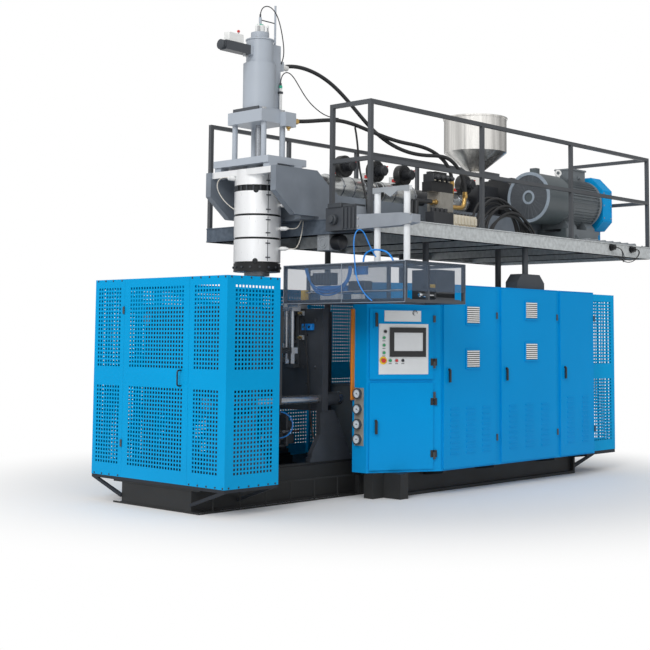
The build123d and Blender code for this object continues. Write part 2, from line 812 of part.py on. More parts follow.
def clamp_yoke():
    """Yoke behind the left platen with the barrel of the clamping cylinder."""
    left = -yoke_left
    right = left + yoke_thick
    barrel_right_end = -clamp_barrel_right
    yoke = block(left, right, -platen_half, platen_half, platen_low, platen_high)
    leg = [(left - 30, rail_top_z), (right + 5, rail_top_z), (right, platen_low + 1), (left, platen_low + 1)]
    yoke += both_sides(side_profile(leg, leg_inner, leg_outer))
    yoke += rod_x(-clamp_barrel_left, barrel_right_end, 0, clamp_axis_z, clamp_barrel_radius)
    yoke -= rod_x(-clamp_barrel_left + 20, barrel_right_end - 20, 0, clamp_axis_z, clamp_bore_radius + running_fit)
    yoke -= rod_x(barrel_right_end - 30, barrel_right_end + 5, 0, clamp_axis_z, clamp_rod_radius + running_fit)
    for y, z in tie_bars_at:
        yoke -= rod_x(left - 1, right + 1, y, z, tie_bar_radius + running_fit)
    write("clamp_yoke", yoke)


def clamp():
    """Both platens, tie bars, yoke with its cylinder, and the piston rod."""
    write("right_platen", platen_body(1))
    write("left_platen", platen_body(-1))
    tie_bars()
    clamp_yoke()
    start = -clamp_barrel_left + 25
    platen_back = -platen_face - platen_thick
    rod = rod_x(start, start + piston_length, 0, clamp_axis_z, clamp_bore_radius)
    rod += rod_x(start, platen_back - 10, 0, clamp_axis_z, clamp_rod_radius)
    rod += rod_x(platen_back - 30, platen_back, 0, clamp_axis_z, 110)
    write("clamp_rod", rod)


def blow_station():
    """Stand between the platens with the blow pin that rises from below."""
    stand = block(-60, 60, -110, 110, clamp_base_height, stand_low)
    stand += block(-80, 170, -200, 200, stand_low, stand_low + 40)
    stand += block(-80, 170, -200, 200, stand_high - 40, stand_high)
    for y in (-170, 130):
        stand += block(-60, 150, y, y + 40, stand_low, stand_high)
    stand += rod_z(0, 0, stand_low + 40, stand_high - 40, 55)
    stand += rod_x(-200, 260, -160, 500, 14) + block(-30, 30, -180, -100, 470, stand_low)
    stand -= rod_z(0, 0, clamp_base_height + 40, stand_high + 1, pin_radius + running_fit)
    write("blow_stand", stand)
    pin = rod_z(0, 0, clamp_base_height + 60, pin_top, pin_radius)
    pin += rod_z(0, 0, pin_top, pin_top + 60, 20)
    write("blow_pin", pin)


# Platform and lift


def platform():
    """Deck on a channel frame with cross beams."""
    left, right, half = platform_left, platform_right, platform_half
    low, top = platform_low, platform_top
    web = channel_web
    solid = block(left, right, -half, half, top - deck_thick, top)
    for y in (-half, half - web):
        solid += block(left, right, y, y + web, low, top)
    for x in (left, right - web):
        solid += block(x, x + web, -half, half, low, top)
    solid += block(left, right, -half, -half + channel_flange, low, low + web)
    solid += block(left, right, half - channel_flange, half, low, low + web)
    for x in (left + 90, lift_x[0], 2620, lift_x[1], 4300, 5200):
        solid += block(x - 60, x + 60, -half, half, low, top)
    write("platform", solid)


def lift():
    """Fixed lift tubes and jack box, and the screws that carry the platform."""
    tubes = []
    screws = []
    for x in lift_x:
        for y in (-lift_y, lift_y):
            tube = block(x - 90, x + 90, y - 90, y + 90, main_base_height, main_base_height + 20)
            tube += rod_z(x, y, main_base_height, tube_top, tube_radius)
            tube -= rod_z(x, y, main_base_height + 20, tube_top + 1, screw_radius + running_fit)
            tubes.append(tube)
            screws.append(rod_z(x, y, 700, platform_low, screw_radius))
    low = cabinet_top
    x0 = jack_x - jack_half
    x1 = jack_x + jack_half
    outline = [(x0, low), (x1, low), (x1, low + 80), (x1 - 95, jack_high), (x0 + 95, jack_high), (x0, low + 80)]
    box = side_profile(outline, jack_y - 80, jack_y + 80)
    box -= rod_z(jack_x, jack_y, low + 10, jack_high + 1, screw_radius + running_fit)
    tubes.append(box)
    screws.append(rod_z(jack_x, jack_y, low + 12, platform_low, screw_radius))
    write("lift_tubes", *tubes)
    write("lift_screws", *screws)


def rail_run(points):
    """Top and middle rail along a list of (x, y) corners."""
    half = rail_tube / 2
    run = None
    for z in (rail_mid, rail_high):
        for (x0, y0), (x1, y1) in zip(points, points[1:]):
            low_x, high_x = sorted((x0, x1))
            low_y, high_y = sorted((y0, y1))
            bar = block(low_x - half, high_x + half, low_y - half, high_y + half, z - rail_tube, z)
            run = bar if run is None else run + bar
    return run


def handrails():
    """Square-tube rails on posts around the platform, open at the far end for the ladder."""
    half = rail_tube / 2
    near = -platform_half + post_inset
    far = platform_half - post_inset
    left, right = near_posts[0], near_posts[-1]
    front = rail_run([(left, -return_front), (left, near), (right, near), (right, -return_end)])
    places = [(x, near) for x in near_posts] + [(left, -return_front), (right, -return_end)]
    for x, y in places:
        front += block(x - half, x + half, y - half, y + half, platform_top, rail_high)
    back = rail_run([(far_posts[0], far), (far_posts[-1], far)])
    for x in far_posts:
        back += block(x - half, x + half, far - half, far + half, platform_top, rail_high)
    write("handrails", front, back)


# Head


def die_head():
    """Accumulator head: heated segments with their carrying lugs, chamber, melt inlet, nozzle and pin."""
    low = head_steps[0][0]
    top = head_steps[-1][1]
    body = rod_z(0, 0, top - 1, stool_low, neck_radius)
    for z0, z1, radius in head_steps:
        body += rod_z(0, 0, z0, z1, radius)
    for x0, x1 in lug_places:
        body += block(x0, x1, -bed_outer + 1, bed_outer - 1, lug_low, cheek_top)
    body += rod_x(150, barrel_left, 0, barrel_z, inlet_radius)
    body -= rod_z(0, 0, chamber_low, chamber_high, chamber_radius + running_fit)
    body -= rod_z(0, 0, chamber_high - 1, stool_low + 1, ram_radius + running_fit)
    body -= rod_z(0, 0, low - 1, chamber_low + 1, 70)
    body -= rod_x(170, barrel_left + 1, 0, barrel_z, melt_channel)
    body -= rod_z(185, 0, chamber_low + 50, barrel_z, melt_channel)
    body -= rod_x(100, 185, 0, chamber_low + 65, melt_channel)
    pin = rod_z(0, 0, low - 12, chamber_low + 40, 58)
    pin += block(-69, 69, -9, 9, chamber_low - 100, chamber_low - 40)
    write("die_head", body, pin)


def ram():
    """Stool over the head, its hydraulic cylinder, and the ram."""
    top = stool_low + stool_thick
    low = upper_plate_high
    lower = block(stool_left, stool_right, -stool_half_y, stool_half_y, stool_low, top)
    for x0, x1 in lug_places:
        lower += both_sides(block(x0, x1, stool_half_y - 90, stool_half_y, cheek_top, stool_low + 1))
    lower -= rod_z(0, 0, stool_low - 1, top + 1, ram_radius + running_fit)
    half_x, half_y = upper_plate_half_x, upper_plate_half_y
    upper = block(-half_x, half_x, -half_y, half_y, upper_plate_low, low)
    upper -= rod_z(0, 0, upper_plate_low - 1, low + 1, ram_radius + running_fit)
    columns = []
    for x in (-column_x, column_x):
        for y in (-column_y, column_y):
            columns.append(rod_z(x, y, top, upper_plate_low, column_radius))
    write("ram_stool", lower, upper, *columns)
    cylinder = block(-190, 190, -190, 190, low, low + 35)
    cylinder += rod_z(0, 0, low + 35, cylinder_step, cylinder_radius)
    cylinder += rod_z(0, 0, cylinder_step, cylinder_top, cylinder_radius_top)
    cylinder += rod_z(0, 0, cylinder_top, cylinder_top + 12, cylinder_radius_top + 8)
    cylinder += rod_z(0, 0, cylinder_top + 12, sensor_low, 95)
    cylinder += rod_z(0, 0, sensor_low, sensor_low + 80, 40) + rod_z(0, 0, sensor_low + 80, sensor_high, 15)
    cylinder += block(120, 235, -70, 10, low + 35, cylinder_top - 20)
    cylinder += block(200, port_face, -50, 30, port_z - 50, port_z + 50)
    cylinder += block(servo_left, -120, -50, 50, servo_low, servo_low + 95)
    cylinder += rod_z(mast_x, mast_y, cylinder_top - 21, mast_top, mast_radius)
    cylinder -= rod_z(0, 0, low + 45, cylinder_top - 30, cylinder_bore + running_fit)
    cylinder -= rod_z(0, 0, low - 1, low + 46, ram_radius + running_fit)
    plate_valve = block(60, plate_valve_face, -half_y - 80, -half_y, upper_plate_low - 30, low - 10)
    write("ram_cylinder", cylinder, plate_valve)
    rest = chamber_low + 90 + ram_travel
    piston = cylinder_top - 90
    ram_rod = rod_z(0, 0, rest, piston, ram_radius)
    ram_rod += rod_z(0, 0, rest, rest + 120, chamber_radius)
    ram_rod += rod_z(0, 0, piston - 60, piston, cylinder_bore)
    write("ram_rod", ram_rod)


# Extruder


def extruder_bed():
    """Bed beams on the platform, head cheeks at their end, and barrel saddles."""
    solid = both_sides(block(bed_left, bed_right, bed_inner, bed_outer, platform_top, bed_top))
    outline = [(-cheek_left, 3050), (-cheek_left, cheek_top), (336, cheek_top), (500, 3170), (640, bed_top),
               (640, platform_top), (platform_left, platform_top), (platform_left, cheek_low), (20, cheek_low)]
    solid += both_sides(side_profile(outline, bed_outer - 1, cheek_outer))
    for x in (bed_left + 120, 1500, 2500):
        solid += block(x, x + 80, -bed_inner - 1, bed_inner + 1, platform_top, bed_top)
    for x in saddle_x:
        solid += block(x - 40, x + 40, -bed_inner - 20, bed_inner + 20, bed_top - 1, bed_top + 25)
        solid += block(x - 30, x + 30, -110, 110, bed_top, barrel_z)
    solid -= rod_x(saddle_x[0] - 50, saddle_x[-1] + 50, 0, barrel_z, barrel_radius + running_fit)
    write("extruder_bed", solid)


def extruder_barrel():
    """Barrel with three heater shields and four blowers."""
    barrel = rod_x(barrel_left, barrel_right, 0, barrel_z, barrel_radius)
    barrel += rod_x(barrel_left, barrel_left + 60, 0, barrel_z, barrel_radius + 35)
    barrel -= rod_x(barrel_left + 20, barrel_right + 1, 0, barrel_z, screw_line_radius + running_fit)
    barrel -= rod_x(barrel_left - 1, barrel_left + 21, 0, barrel_z, melt_channel)
    pieces = [barrel]
    for start, end in shields:
        shield = rod_x(start, end, 0, barrel_z, shield_radius)
        for x in blower_x:
            if start < x < end:
                shield += block(x - 65, x + 65, -170, -20, barrel_z, 3440)
                shield += rod_y(x, -250, -130, 3450, 90) + rod_y(x, -330, -250, 3450, 55)
        shield -= rod_x(start - 1, end + 1, 0, barrel_z, barrel_radius + running_fit)
        pieces.append(shield)
    write("extruder_barrel", *pieces)


def extruder_screw():
    """Screw core from the barrel tip into the gearbox."""
    core = rod_x(barrel_left + 60, gear_left + 240, 0, barrel_z, screw_line_radius)
    core += Pos(barrel_left + 45, 0, barrel_z) * Rot(0, -90, 0) * Cone(screw_line_radius, 12, 30)
    write("extruder_screw", core)


def gearbox():
    """Feed section under the hopper, and the gearbox with its lantern."""
    fit = screw_line_radius + running_fit
    feed = block(barrel_right, feed_right, -200, 200, bed_top + 30, feed_high)
    feed += block(barrel_right, feed_right, -400, 400, bed_top, bed_top + 30)
    feed -= rod_x(barrel_right - 1, feed_right + 1, 0, barrel_z, fit)
    feed -= rod_z(hopper_x, 0, barrel_z, feed_high + 1, throat_radius - hopper_wall)
    low, edge = bed_top + 30, gear_half - gear_chamfer
    outline = [(-gear_half, low), (gear_half, low), (gear_half, gear_high - gear_chamfer), (edge, gear_high),
               (-edge, gear_high), (-gear_half, gear_high - gear_chamfer)]
    box = end_profile(outline, gear_left, gear_right)
    box += block(gear_left, gear_right - 50, -400, 400, bed_top, bed_top + 30)
    box += rod_x(feed_right, gear_left + 1, 0, barrel_z, shield_radius)
    box += block(gear_left + 150, gear_left + 550, -edge + 10, edge - 10, gear_high, gear_high + 40)
    box -= rod_x(feed_right - 1, gear_left + 260, 0, barrel_z, fit)
    box -= rod_x(gear_right - 40, gear_right + 1, 0, gear_shaft_z, shaft_radius + running_fit)
    write("gearbox", feed, box)


def hopper():
    """Sheet hopper: throat, cone and open drum."""
    r0, r1, t = throat_radius, hopper_radius, hopper_wall
    outline = [(r0 - t, feed_high), (r0 + 40, feed_high), (r0 + 40, feed_high + 14), (r0, feed_high + 14), (r0, hopper_tip),
               (r1, hopper_shoulder), (r1, hopper_rim - 20), (r1 + 12, hopper_rim - 20), (r1 + 12, hopper_rim),
               (r1 - t, hopper_rim), (r1 - t, hopper_shoulder + 2), (r0 - t, hopper_tip + 2)]
    profile = Plane.XZ.location * make_face(Polyline(*outline, close=True))
    write("hopper", Pos(hopper_x, 0, 0) * revolve(profile, axis=Axis.Z))


def drive_motor():
    """Large motor beside the gearbox: cowl, stator, terminal box, feet, slide rails and base."""
    y, z = motor_y, motor_z
    body = rod_x(motor_left, motor_cowl_end, y, z, motor_radius)
    body += rod_x(motor_cowl_end - 1, motor_right - 40, y, z, motor_radius - 30)
    body += rod_x(motor_right - 40, motor_right, y, z, motor_radius - 5)
    body -= rod_x(motor_left - 1, motor_left + 25, y, z, motor_radius - 12)
    body += rod_x(motor_left + 5, motor_left + 26, y, z, 75)
    inner = -bed_outer - 12
    foot = [(y - 215, rail_foot), (inner, rail_foot), (inner, rail_foot + 30), (y + 110, z - 180), (y - 110, z - 180),
            (y - 215, rail_foot + 30)]
    for x in (4450, 4870):
        body += end_profile(foot, x, x + 190)
    body += block(4670, 5010, y - 110, y + 110, z + 250, z + 410)
    body += block(4660, 5020, y - 125, y + 125, z + 410, z + 430)
    body += rod_z(4560, y, z + 270, z + 330, 16)
    base = block(4380, motor_right + 30, y - 225, inner, platform_top, rail_foot - 40)
    for y0 in (y - 225, inner - 70):
        base += block(4380, motor_right + 60, y0, y0 + 70, rail_foot - 41, rail_foot)
    body -= rod_x(motor_right - 60, motor_right + 1, y, z, shaft_radius + running_fit)
    write("drive_motor", body, base)


def pulleys():
    """Belt pulleys on the motor shaft and on the gearbox shaft."""
    small = rod_x(motor_right - 50, pulley_right, motor_y, motor_z, shaft_radius)
    small += rod_x(pulley_left, pulley_right, motor_y, motor_z, 130)
    write("motor_pulley", small)
    large = rod_x(gear_right - 30, pulley_right, 0, gear_shaft_z, shaft_radius)
    large += rod_x(pulley_left, pulley_right, 0, gear_shaft_z, 250)
    write("gearbox_pulley", large)


def belt_cover():
    """Sheet cover over the belt drive at the far end, on two feet."""
    outline = [(-915, 3110), (-915, 3520), (-745, 3690), (200, 3690), (330, 3560), (330, 3110), (220, 3000), (-805, 3000)]
    face = make_face(Polyline(*outline, close=True))
    inner = offset(face, amount=-belt_wall)
    depth = belt_right - belt_left
    place = Plane(origin=(belt_left, 0, 0), x_dir=(0, 1, 0), z_dir=(1, 0, 0)).location
    solid = place * extrude(face, amount=depth)
    solid -= place * Pos(0, 0, belt_wall) * extrude(inner, amount=depth - 2 * belt_wall)
    solid -= rod_x(belt_left - 1, belt_left + belt_wall + 1, motor_y, motor_z, shaft_radius + 10)
    solid -= rod_x(belt_left - 1, belt_left + belt_wall + 1, 0, gear_shaft_z, shaft_radius + 10)
    for y in (-760, 100):
        solid += block(belt_left + 30, belt_right - 30, y, y + 80, platform_top, 3000)
    write("belt_cover", solid)


def valve_manifold():
    """Valve manifold of the ram cylinder with its valve stack, on a stand beside the barrel."""
    x0, x1 = manifold_x
    stand = block(x0 - 20, x1 + 20, -770, -560, platform_top, 2830)
    stand += block(x0 + 30, x1 - 30, -730, -590, 2829, manifold_low)
    stand += block(x0, x1, -750, -570, manifold_low, manifold_high)
    stand += block(x0 - 130, x1 + 10, -740, -600, manifold_high, manifold_high + 110)
    stand += block(x0 - 40, x1 - 80, -720, -610, manifold_high + 110, manifold_high + 230)
    for (x, y, z), turn_z in ((elbow_a, 3080), (elbow_b, 3160)):
        stand += rod_z(x, y, turn_z, z, 19) + rod_x(x1 - 1, x, y, turn_z, 19)
        stand += Pos(x, y, turn_z) * Sphere(19)
    return stand


def hydraulic_lines():
    """Valve manifold, and the two pressure hoses that join it to the ram cylinder."""
    hoses = []
    for points in hose_runs:
        path = Spline(*points)
        start = Plane(origin=path @ 0, z_dir=path % 0)
        x, y, z = points[0]
        ferrule = rod_x(x - 12, x + 40, y, z, hose_radius + 6)
        hoses.append(sweep(start * Circle(hose_radius), path=path) + ferrule)
    write("hydraulic_lines", valve_manifold(), *hoses)


# Take-out unit


def take_out_arm():
    """Arm on the platform end that holds the guide columns."""
    low, high = arm_low, arm_high
    solid = block(arm_x - arm_half, platform_left, -1160, -740, platform_low + 15, 2890)
    outline = [(-1160, low - 10), (-1160, high + 15), (-1730, high), (-1870, high - 20), (-1870, low + 20), (-1730, low)]
    solid += end_profile(outline, arm_x - arm_half, arm_x + arm_half)
    for y in guide_y:
        solid -= rod_z(arm_x, y, low - 20, high + 30, guide_radius + running_fit)
    write("take_out_arm", solid)


def take_out_unit():
    """Frame of the product take-out, its rail, drive box and guide columns."""
    t = frame_tube
    x0, x1, x2 = unit_left, unit_right - t, unit_wide - t
    y0, y1, y2 = unit_inner - t, unit_step, unit_outer
    bars = [(x0, x0 + t, y2, y0 + t), (x1, x1 + t, y2, y0 + t), (x0, x1 + t, y0, y0 + t),
            (x0, x2 + t, y2, y2 + t), (x1, x2 + t, y1, y1 + t), (x2, x2 + t, y2, y1 + t)]
    frame = block(x0 + t, x0 + t + 40, y2, y0 + t, unit_low, unit_low + 40)
    for z in (unit_low, unit_high - t):
        for bar in bars:
            frame += block(*bar, z, z + t)
    for x, y in ((x0, y0), (x1, y0), (x0, y2), (x1, y2), (x2, y2), (x2, y1), (x1, y1)):
        frame += block(x, x + t, y, y + t, unit_low, unit_high)
    frame += block(arm_x - 75, arm_x + 75, -1810, -1325, unit_high - t, unit_high + 12)
    for y in (-1400, -1770):
        frame += block(x0, x1 + t, y, y + t, unit_high - t, unit_high)
    for y in guide_y:
        frame += rod_z(arm_x, y, unit_high, guide_top, guide_radius)
    frame += block(arm_x - 20, arm_x + 20, guide_y[0] - 45, guide_y[1] + 45, guide_top - 40, guide_top)
    drive = block(560, 950, y2 + 5, y1 + t - 5, unit_low + t, unit_low + t + 10)
    drive += block(610, 900, -1860, -1560, unit_low + t, 2260)
    write("take_out_unit", frame, drive)


def take_out_guard():
    """Clear sheets of the take-out unit."""
    t = clear_sheet
    left = block(unit_left - t, unit_left, unit_outer, unit_inner, unit_low, unit_high)
    outer = block(unit_left, unit_wide, unit_outer - t, unit_outer, unit_low + 110, unit_high)
    right = block(unit_right, unit_right + t, unit_step + frame_tube, unit_inner, unit_low, unit_high)
    write("take_out_guard", left, outer, right)


def gripper():
    """Take-out gripper: carriage under the rail, two cylinders, a rod and jaws."""
    x = unit_left + frame_tube
    low = unit_low - 70
    body = block(x, x + 40, -450, -300, unit_low - 30, unit_low)
    body += block(70, 190, -450, -300, low, unit_low - 30)
    for y in (-415, -335):
        body += rod_z(105, y, 1500, low + 1, 24)
    body += block(75, 160, -445, -305, 1440, 1500)
    body += rod_z(145, -375, 1380, low + 1, 10)
    body += block(80, 130, -430, -400, 1340, 1441) + block(80, 130, -350, -320, 1340, 1441)
    write("gripper", body)


for build in (clamp_base, main_base, cage_frame, guard_panels, outer_guard, cage_door, door_hinges, control_cabinet,
              main_cabinets, cabinet_doors, control_doors, control_panel, switches, latch_handles, pressure_gauges,
              light_curtain, power_unit, clamp, blow_station, platform, lift, handrails, die_head, ram, extruder_bed,
              extruder_barrel, extruder_screw, gearbox, hopper, drive_motor, pulleys, belt_cover, hydraulic_lines,
              take_out_arm, take_out_unit, take_out_guard, gripper):
    build()
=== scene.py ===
import json
import math

import bmesh
import bpy
from mathutils import Matrix, Vector


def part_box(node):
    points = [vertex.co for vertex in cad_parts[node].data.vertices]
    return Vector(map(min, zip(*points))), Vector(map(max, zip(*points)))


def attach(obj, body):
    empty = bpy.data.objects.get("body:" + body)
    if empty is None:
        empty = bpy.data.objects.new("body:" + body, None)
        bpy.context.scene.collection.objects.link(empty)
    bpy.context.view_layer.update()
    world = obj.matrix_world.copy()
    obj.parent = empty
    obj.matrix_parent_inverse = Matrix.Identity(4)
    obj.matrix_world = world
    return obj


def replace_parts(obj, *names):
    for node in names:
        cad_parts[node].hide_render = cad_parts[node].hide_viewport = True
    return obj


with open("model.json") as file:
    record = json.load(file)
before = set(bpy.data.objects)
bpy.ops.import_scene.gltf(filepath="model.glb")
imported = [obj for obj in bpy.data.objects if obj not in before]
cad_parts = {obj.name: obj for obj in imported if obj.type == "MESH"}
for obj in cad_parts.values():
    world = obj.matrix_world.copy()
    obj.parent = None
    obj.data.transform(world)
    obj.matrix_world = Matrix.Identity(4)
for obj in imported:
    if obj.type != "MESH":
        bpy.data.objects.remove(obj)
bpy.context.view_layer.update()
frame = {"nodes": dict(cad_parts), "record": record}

# Every size below is in millimetres; Piece.finish brings the mesh to metres.
MM = 0.001

# Directions of the machine; OUT points away from an upright face.
RIGHT, LEFT = (1, 0, 0), (-1, 0, 0)
AWAY, NEAR = (0, 1, 0), (0, -1, 0)
UP, DOWN = (0, 0, 1), (0, 0, -1)
OUT = (0, 1, 0)


# places

def span(node):
    """Lowest and highest corner of a node of the frame, in millimetres."""
    low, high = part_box(node)
    return Vector(low) / MM, Vector(high) / MM


def axes_at(origin, first, second, third):
    """Matrix that lays three directions at a place."""
    place = Matrix((first, second, third)).transposed().to_4x4()
    place.translation = Vector(origin)
    return place


def upright(origin, across, outward):
    """Matrix from (across, outward, height) of an upright face to the machine."""
    return axes_at(origin, across, outward, UP)


SHEET = 2.5
CAGE_LEFT = -1270.0
CAGE_SIDE = 985.0
CABINET_FRONT = -1290.0
GUARD_END = 5050.0
GUARD_NEAR = -1140.0
GUARD_REAR = 1040.0
CONTROL_TURN = math.radians(28.0)
CONTROL_CORNER = (683.0, -905.0, 0.0)

LEFT_FACE = upright((CAGE_LEFT, 0, 0), NEAR, LEFT)
FRONT_FACE = upright((0, -CAGE_SIDE, 0), RIGHT, NEAR)
REAR_FACE = upright((0, CAGE_SIDE, 0), LEFT, AWAY)
MAIN_FACE = upright((0, CABINET_FRONT, 0), RIGHT, NEAR)
NEAR_GUARD = upright((0, GUARD_NEAR, 0), RIGHT, NEAR)
END_GUARD = upright((GUARD_END, 0, 0), AWAY, RIGHT)
REAR_GUARD = upright((0, GUARD_REAR, 0), LEFT, AWAY)
CONTROL_FACE = upright(
    CONTROL_CORNER,
    (math.cos(CONTROL_TURN), -math.sin(CONTROL_TURN), 0),
    (-math.sin(CONTROL_TURN), -math.cos(CONTROL_TURN), 0),
)
DOOR_FACE = 20.0


# mesh tools

PATH_STEPS = 8
SHARP_EDGE = math.radians(35.0)


def smooth_path(points):
    """Points of a soft curve through all the given ones."""
    knots = [Vector(p) for p in points]
    ends = [2 * knots[0] - knots[1]] + knots + [2 * knots[-1] - knots[-2]]
    path = []
    for a, b, c, d in zip(ends, ends[1:], ends[2:], ends[3:]):
        for i in range(PATH_STEPS):
            t = i / PATH_STEPS
            path.append(0.5 * (
                2 * b + (c - a) * t
                + (2 * a - 5 * b + 4 * c - d) * t * t
                + (3 * b - a - 3 * c + d) * t ** 3
            ))
    path.append(knots[-1])
    return path


def circle(side, up, sides):
    """Unit spokes of a circle that two directions span."""
    turns = [2 * math.pi * i / sides for i in range(sides)]
    return [side * math.cos(t) + up * math.sin(t) for t in turns]


def circles(start, axis, profile, sides):
    """Corners of circles along an axis: profile holds (distance, radius) pairs."""
    way = Vector(axis).normalized()
    side = way.orthogonal().normalized()
    spokes = circle(side, way.cross(side), sides)
    return [Vector(start) + way * along + spoke * radius
            for along, radius in profile for spoke in spokes]


def band_faces(count, sides, closed=False):
    """Faces between circles; closed joins the last to the first, else both ends get a lid."""
    faces = []
    for ring in range(count if closed else count - 1):
        a = ring * sides
        b = (ring + 1) % count * sides
        for i in range(sides):
            j = (i + 1) % sides
            faces.append((a + i, a + j, b + j, b + i))
    if not closed:
        faces.append(tuple(range(sides)))
        faces.append(tuple(range((count - 1) * sides, count * sides)))
    return faces


class Piece:
    """One mesh put together from simple solids."""

    def __init__(self, place=None):
        self.bm = bmesh.new()
        self.place = place or Matrix.Identity(4)

    def solid(self, corners, faces):
        verts = [self.bm.verts.new(self.place @ Vector(c)) for c in corners]
        for face in faces:
            self.bm.faces.new([verts[i] for i in face])

    def box(self, x0, x1, y0, y1, z0, z1, chamfer=0.0):
        """Block between two corners; chamfer takes its four upright edges."""
        if chamfer:
            c = chamfer
            outline = [
                (x0 + c, y0), (x1 - c, y0), (x1, y0 + c), (x1, y1 - c),
                (x1 - c, y1), (x0 + c, y1), (x0, y1 - c), (x0, y0 + c),
            ]
        else:
            outline = [(x0, y0), (x1, y0), (x1, y1), (x0, y1)]
        self.prism([(x, y, z0) for x, y in outline], (0, 0, z1 - z0))

    def prism(self, outline, along):
        """Flat outline of 3-D points pushed along a vector."""
        n = len(outline)
        near = [Vector(p) for p in outline]
        faces = [range(n), range(n, 2 * n)]
        faces += [(i, (i + 1) % n, (i + 1) % n + n, i + n) for i in range(n)]
        self.solid(near + [p + Vector(along) for p in near], faces)

    def turned(self, start, axis, profile, sides=32):
        """Turned form: profile holds (distance along the axis, radius) pairs."""
        self.solid(circles(start, axis, profile, sides), band_faces(len(profile), sides))

    def rod(self, start, end, radius, sides=20):
        axis = Vector(end) - Vector(start)
        self.turned(start, axis, [(0, radius), (axis.length, radius)], sides)

    def ring(self, start, axis, length, outer, inner, sides=32):
        """Tube with an open bore."""
        profile = ((0, outer), (length, outer), (length, inner), (0, inner))
        self.solid(circles(start, axis, profile, sides), band_faces(4, sides, closed=True))

    def hose(self, points, radius, sides):
        """Round tube swept along a soft curve."""
        path = smooth_path(points)
        side = None
        corners = []
        for i, point in enumerate(path):
            way = path[min(i + 1, len(path) - 1)] - path[max(i - 1, 0)]
            way.normalize()
            if side is None:
                side = way.orthogonal().normalized()
            side = (side - way * side.dot(way)).normalized()
            corners += [point + spoke * radius for spoke in circle(side, way.cross(side), sides)]
        self.solid(corners, band_faces(len(path), sides))

    def perforated(self, us, vs, thickness):
        """Sheet from cut lines across and up; every second cell both ways is a hole."""
        def open_cell(i, j):
            inside = 0 <= i < len(us) - 1 and 0 <= j < len(vs) - 1
            return not inside or (i % 2 == 1 and j % 2 == 1)

        layers = [[[self.bm.verts.new(self.place @ Vector((u, w, v))) for v in vs] for u in us]
                  for w in (-thickness, 0.0)]
        for i in range(len(us) - 1):
            for j in range(len(vs) - 1):
                if open_cell(i, j):
                    continue
                for layer in layers:
                    self.bm.faces.new((layer[i][j], layer[i + 1][j],
                                       layer[i + 1][j + 1], layer[i][j + 1]))
                edges = (
                    (i - 1, j, (i, j), (i, j + 1)), (i + 1, j, (i + 1, j), (i + 1, j + 1)),
                    (i, j - 1, (i, j), (i + 1, j)), (i, j + 1, (i, j + 1), (i + 1, j + 1)),
                )
                for a, b, p, q in edges:
                    if open_cell(a, b):
                        self.bm.faces.new((layers[0][p[0]][p[1]], layers[0][q[0]][q[1]],
                                           layers[1][q[0]][q[1]], layers[1][p[0]][p[1]]))

    def finish(self, name, material, bevel=0.0, body="platform", slot=None):
        """Makes the object, gives it its material and lets it ride on a body."""
        bmesh.ops.recalc_face_normals(self.bm, faces=self.bm.faces)
        mesh = bpy.data.meshes.new(name)
        self.bm.to_mesh(mesh)
        self.bm.free()
        mesh.transform(Matrix.Scale(MM, 4))
        mesh.shade_smooth()
        mesh.set_sharp_from_angle(angle=SHARP_EDGE)
        mesh.materials.append(material)
        piece = bpy.data.objects.new(name, mesh)
        bpy.context.scene.collection.objects.link(piece)
        if bevel:
            rounding = piece.modifiers.new("rounding", "BEVEL")
            rounding.width = bevel * MM
            rounding.segments = 2
            rounding.limit_method = "ANGLE"
        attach(piece, body)
        return piece


def pieces(count, place=None):
    return [Piece(place) for _ in range(count)]


# materials

# Height past which a stepped paint no longer changes.
ALL = 9000
# Sockets of a colour mix (share, first and second colour, result), and of a number mix.
SHARE, FIRST, SECOND, MIXED = 0, 6, 7, 2
FIRST_NUMBER, SECOND_NUMBER, MIXED_NUMBER = 2, 3, 0
DUST = (96, 92, 86)
DUST_HEIGHT = 0.9


def linear(red, green, blue):
    """Colour written as 0 to 255 display values, in the renderer's own scale."""
    def channel(value):
        value /= 255
        return value / 12.92 if value <= 0.04045 else ((value + 0.055) / 1.055) ** 2.4
    return (channel(red), channel(green), channel(blue), 1.0)


def shader_node(tree, kind, values=None, **settings):
    """New shader node with its settings and the values of its sockets."""
    node = tree.nodes.new("ShaderNode" + kind)
    for setting, value in settings.items():
        setattr(node, setting, value)
    for socket, value in (values or {}).items():
        node.inputs[socket].default_value = value
    return node


def node_link(tree, source, output, target, socket):
    tree.links.new(source.outputs[output], target.inputs[socket])


def coordinates(tree):
    return shader_node(tree, "TexCoord")


def noise(tree, scale, detail, stretch):
    """Noise over the machine's own coordinates; scale is in waves per metre."""
    mapping = shader_node(tree, "Mapping", {"Scale": stretch})
    texture = shader_node(tree, "TexNoise", {"Scale": scale, "Detail": detail})
    node_link(tree, coordinates(tree), "Object", mapping, "Vector")
    node_link(tree, mapping, "Vector", texture, "Vector")
    return texture


def remap(tree, source, output, to_low, to_high, from_low=0.0, from_high=1.0):
    """Number of a node's output brought from one range to another."""
    node = shader_node(tree, "MapRange", {"From Min": from_low, "From Max": from_high,
                                          "To Min": to_low, "To Max": to_high})
    node_link(tree, source, output, node, "Value")
    return node


def split(tree, kind):
    """Place ("Object") or facing ("Normal") of a point, split into X, Y and Z."""
    parts = shader_node(tree, "SeparateXYZ")
    node_link(tree, coordinates(tree), kind, parts, "Vector")
    return parts


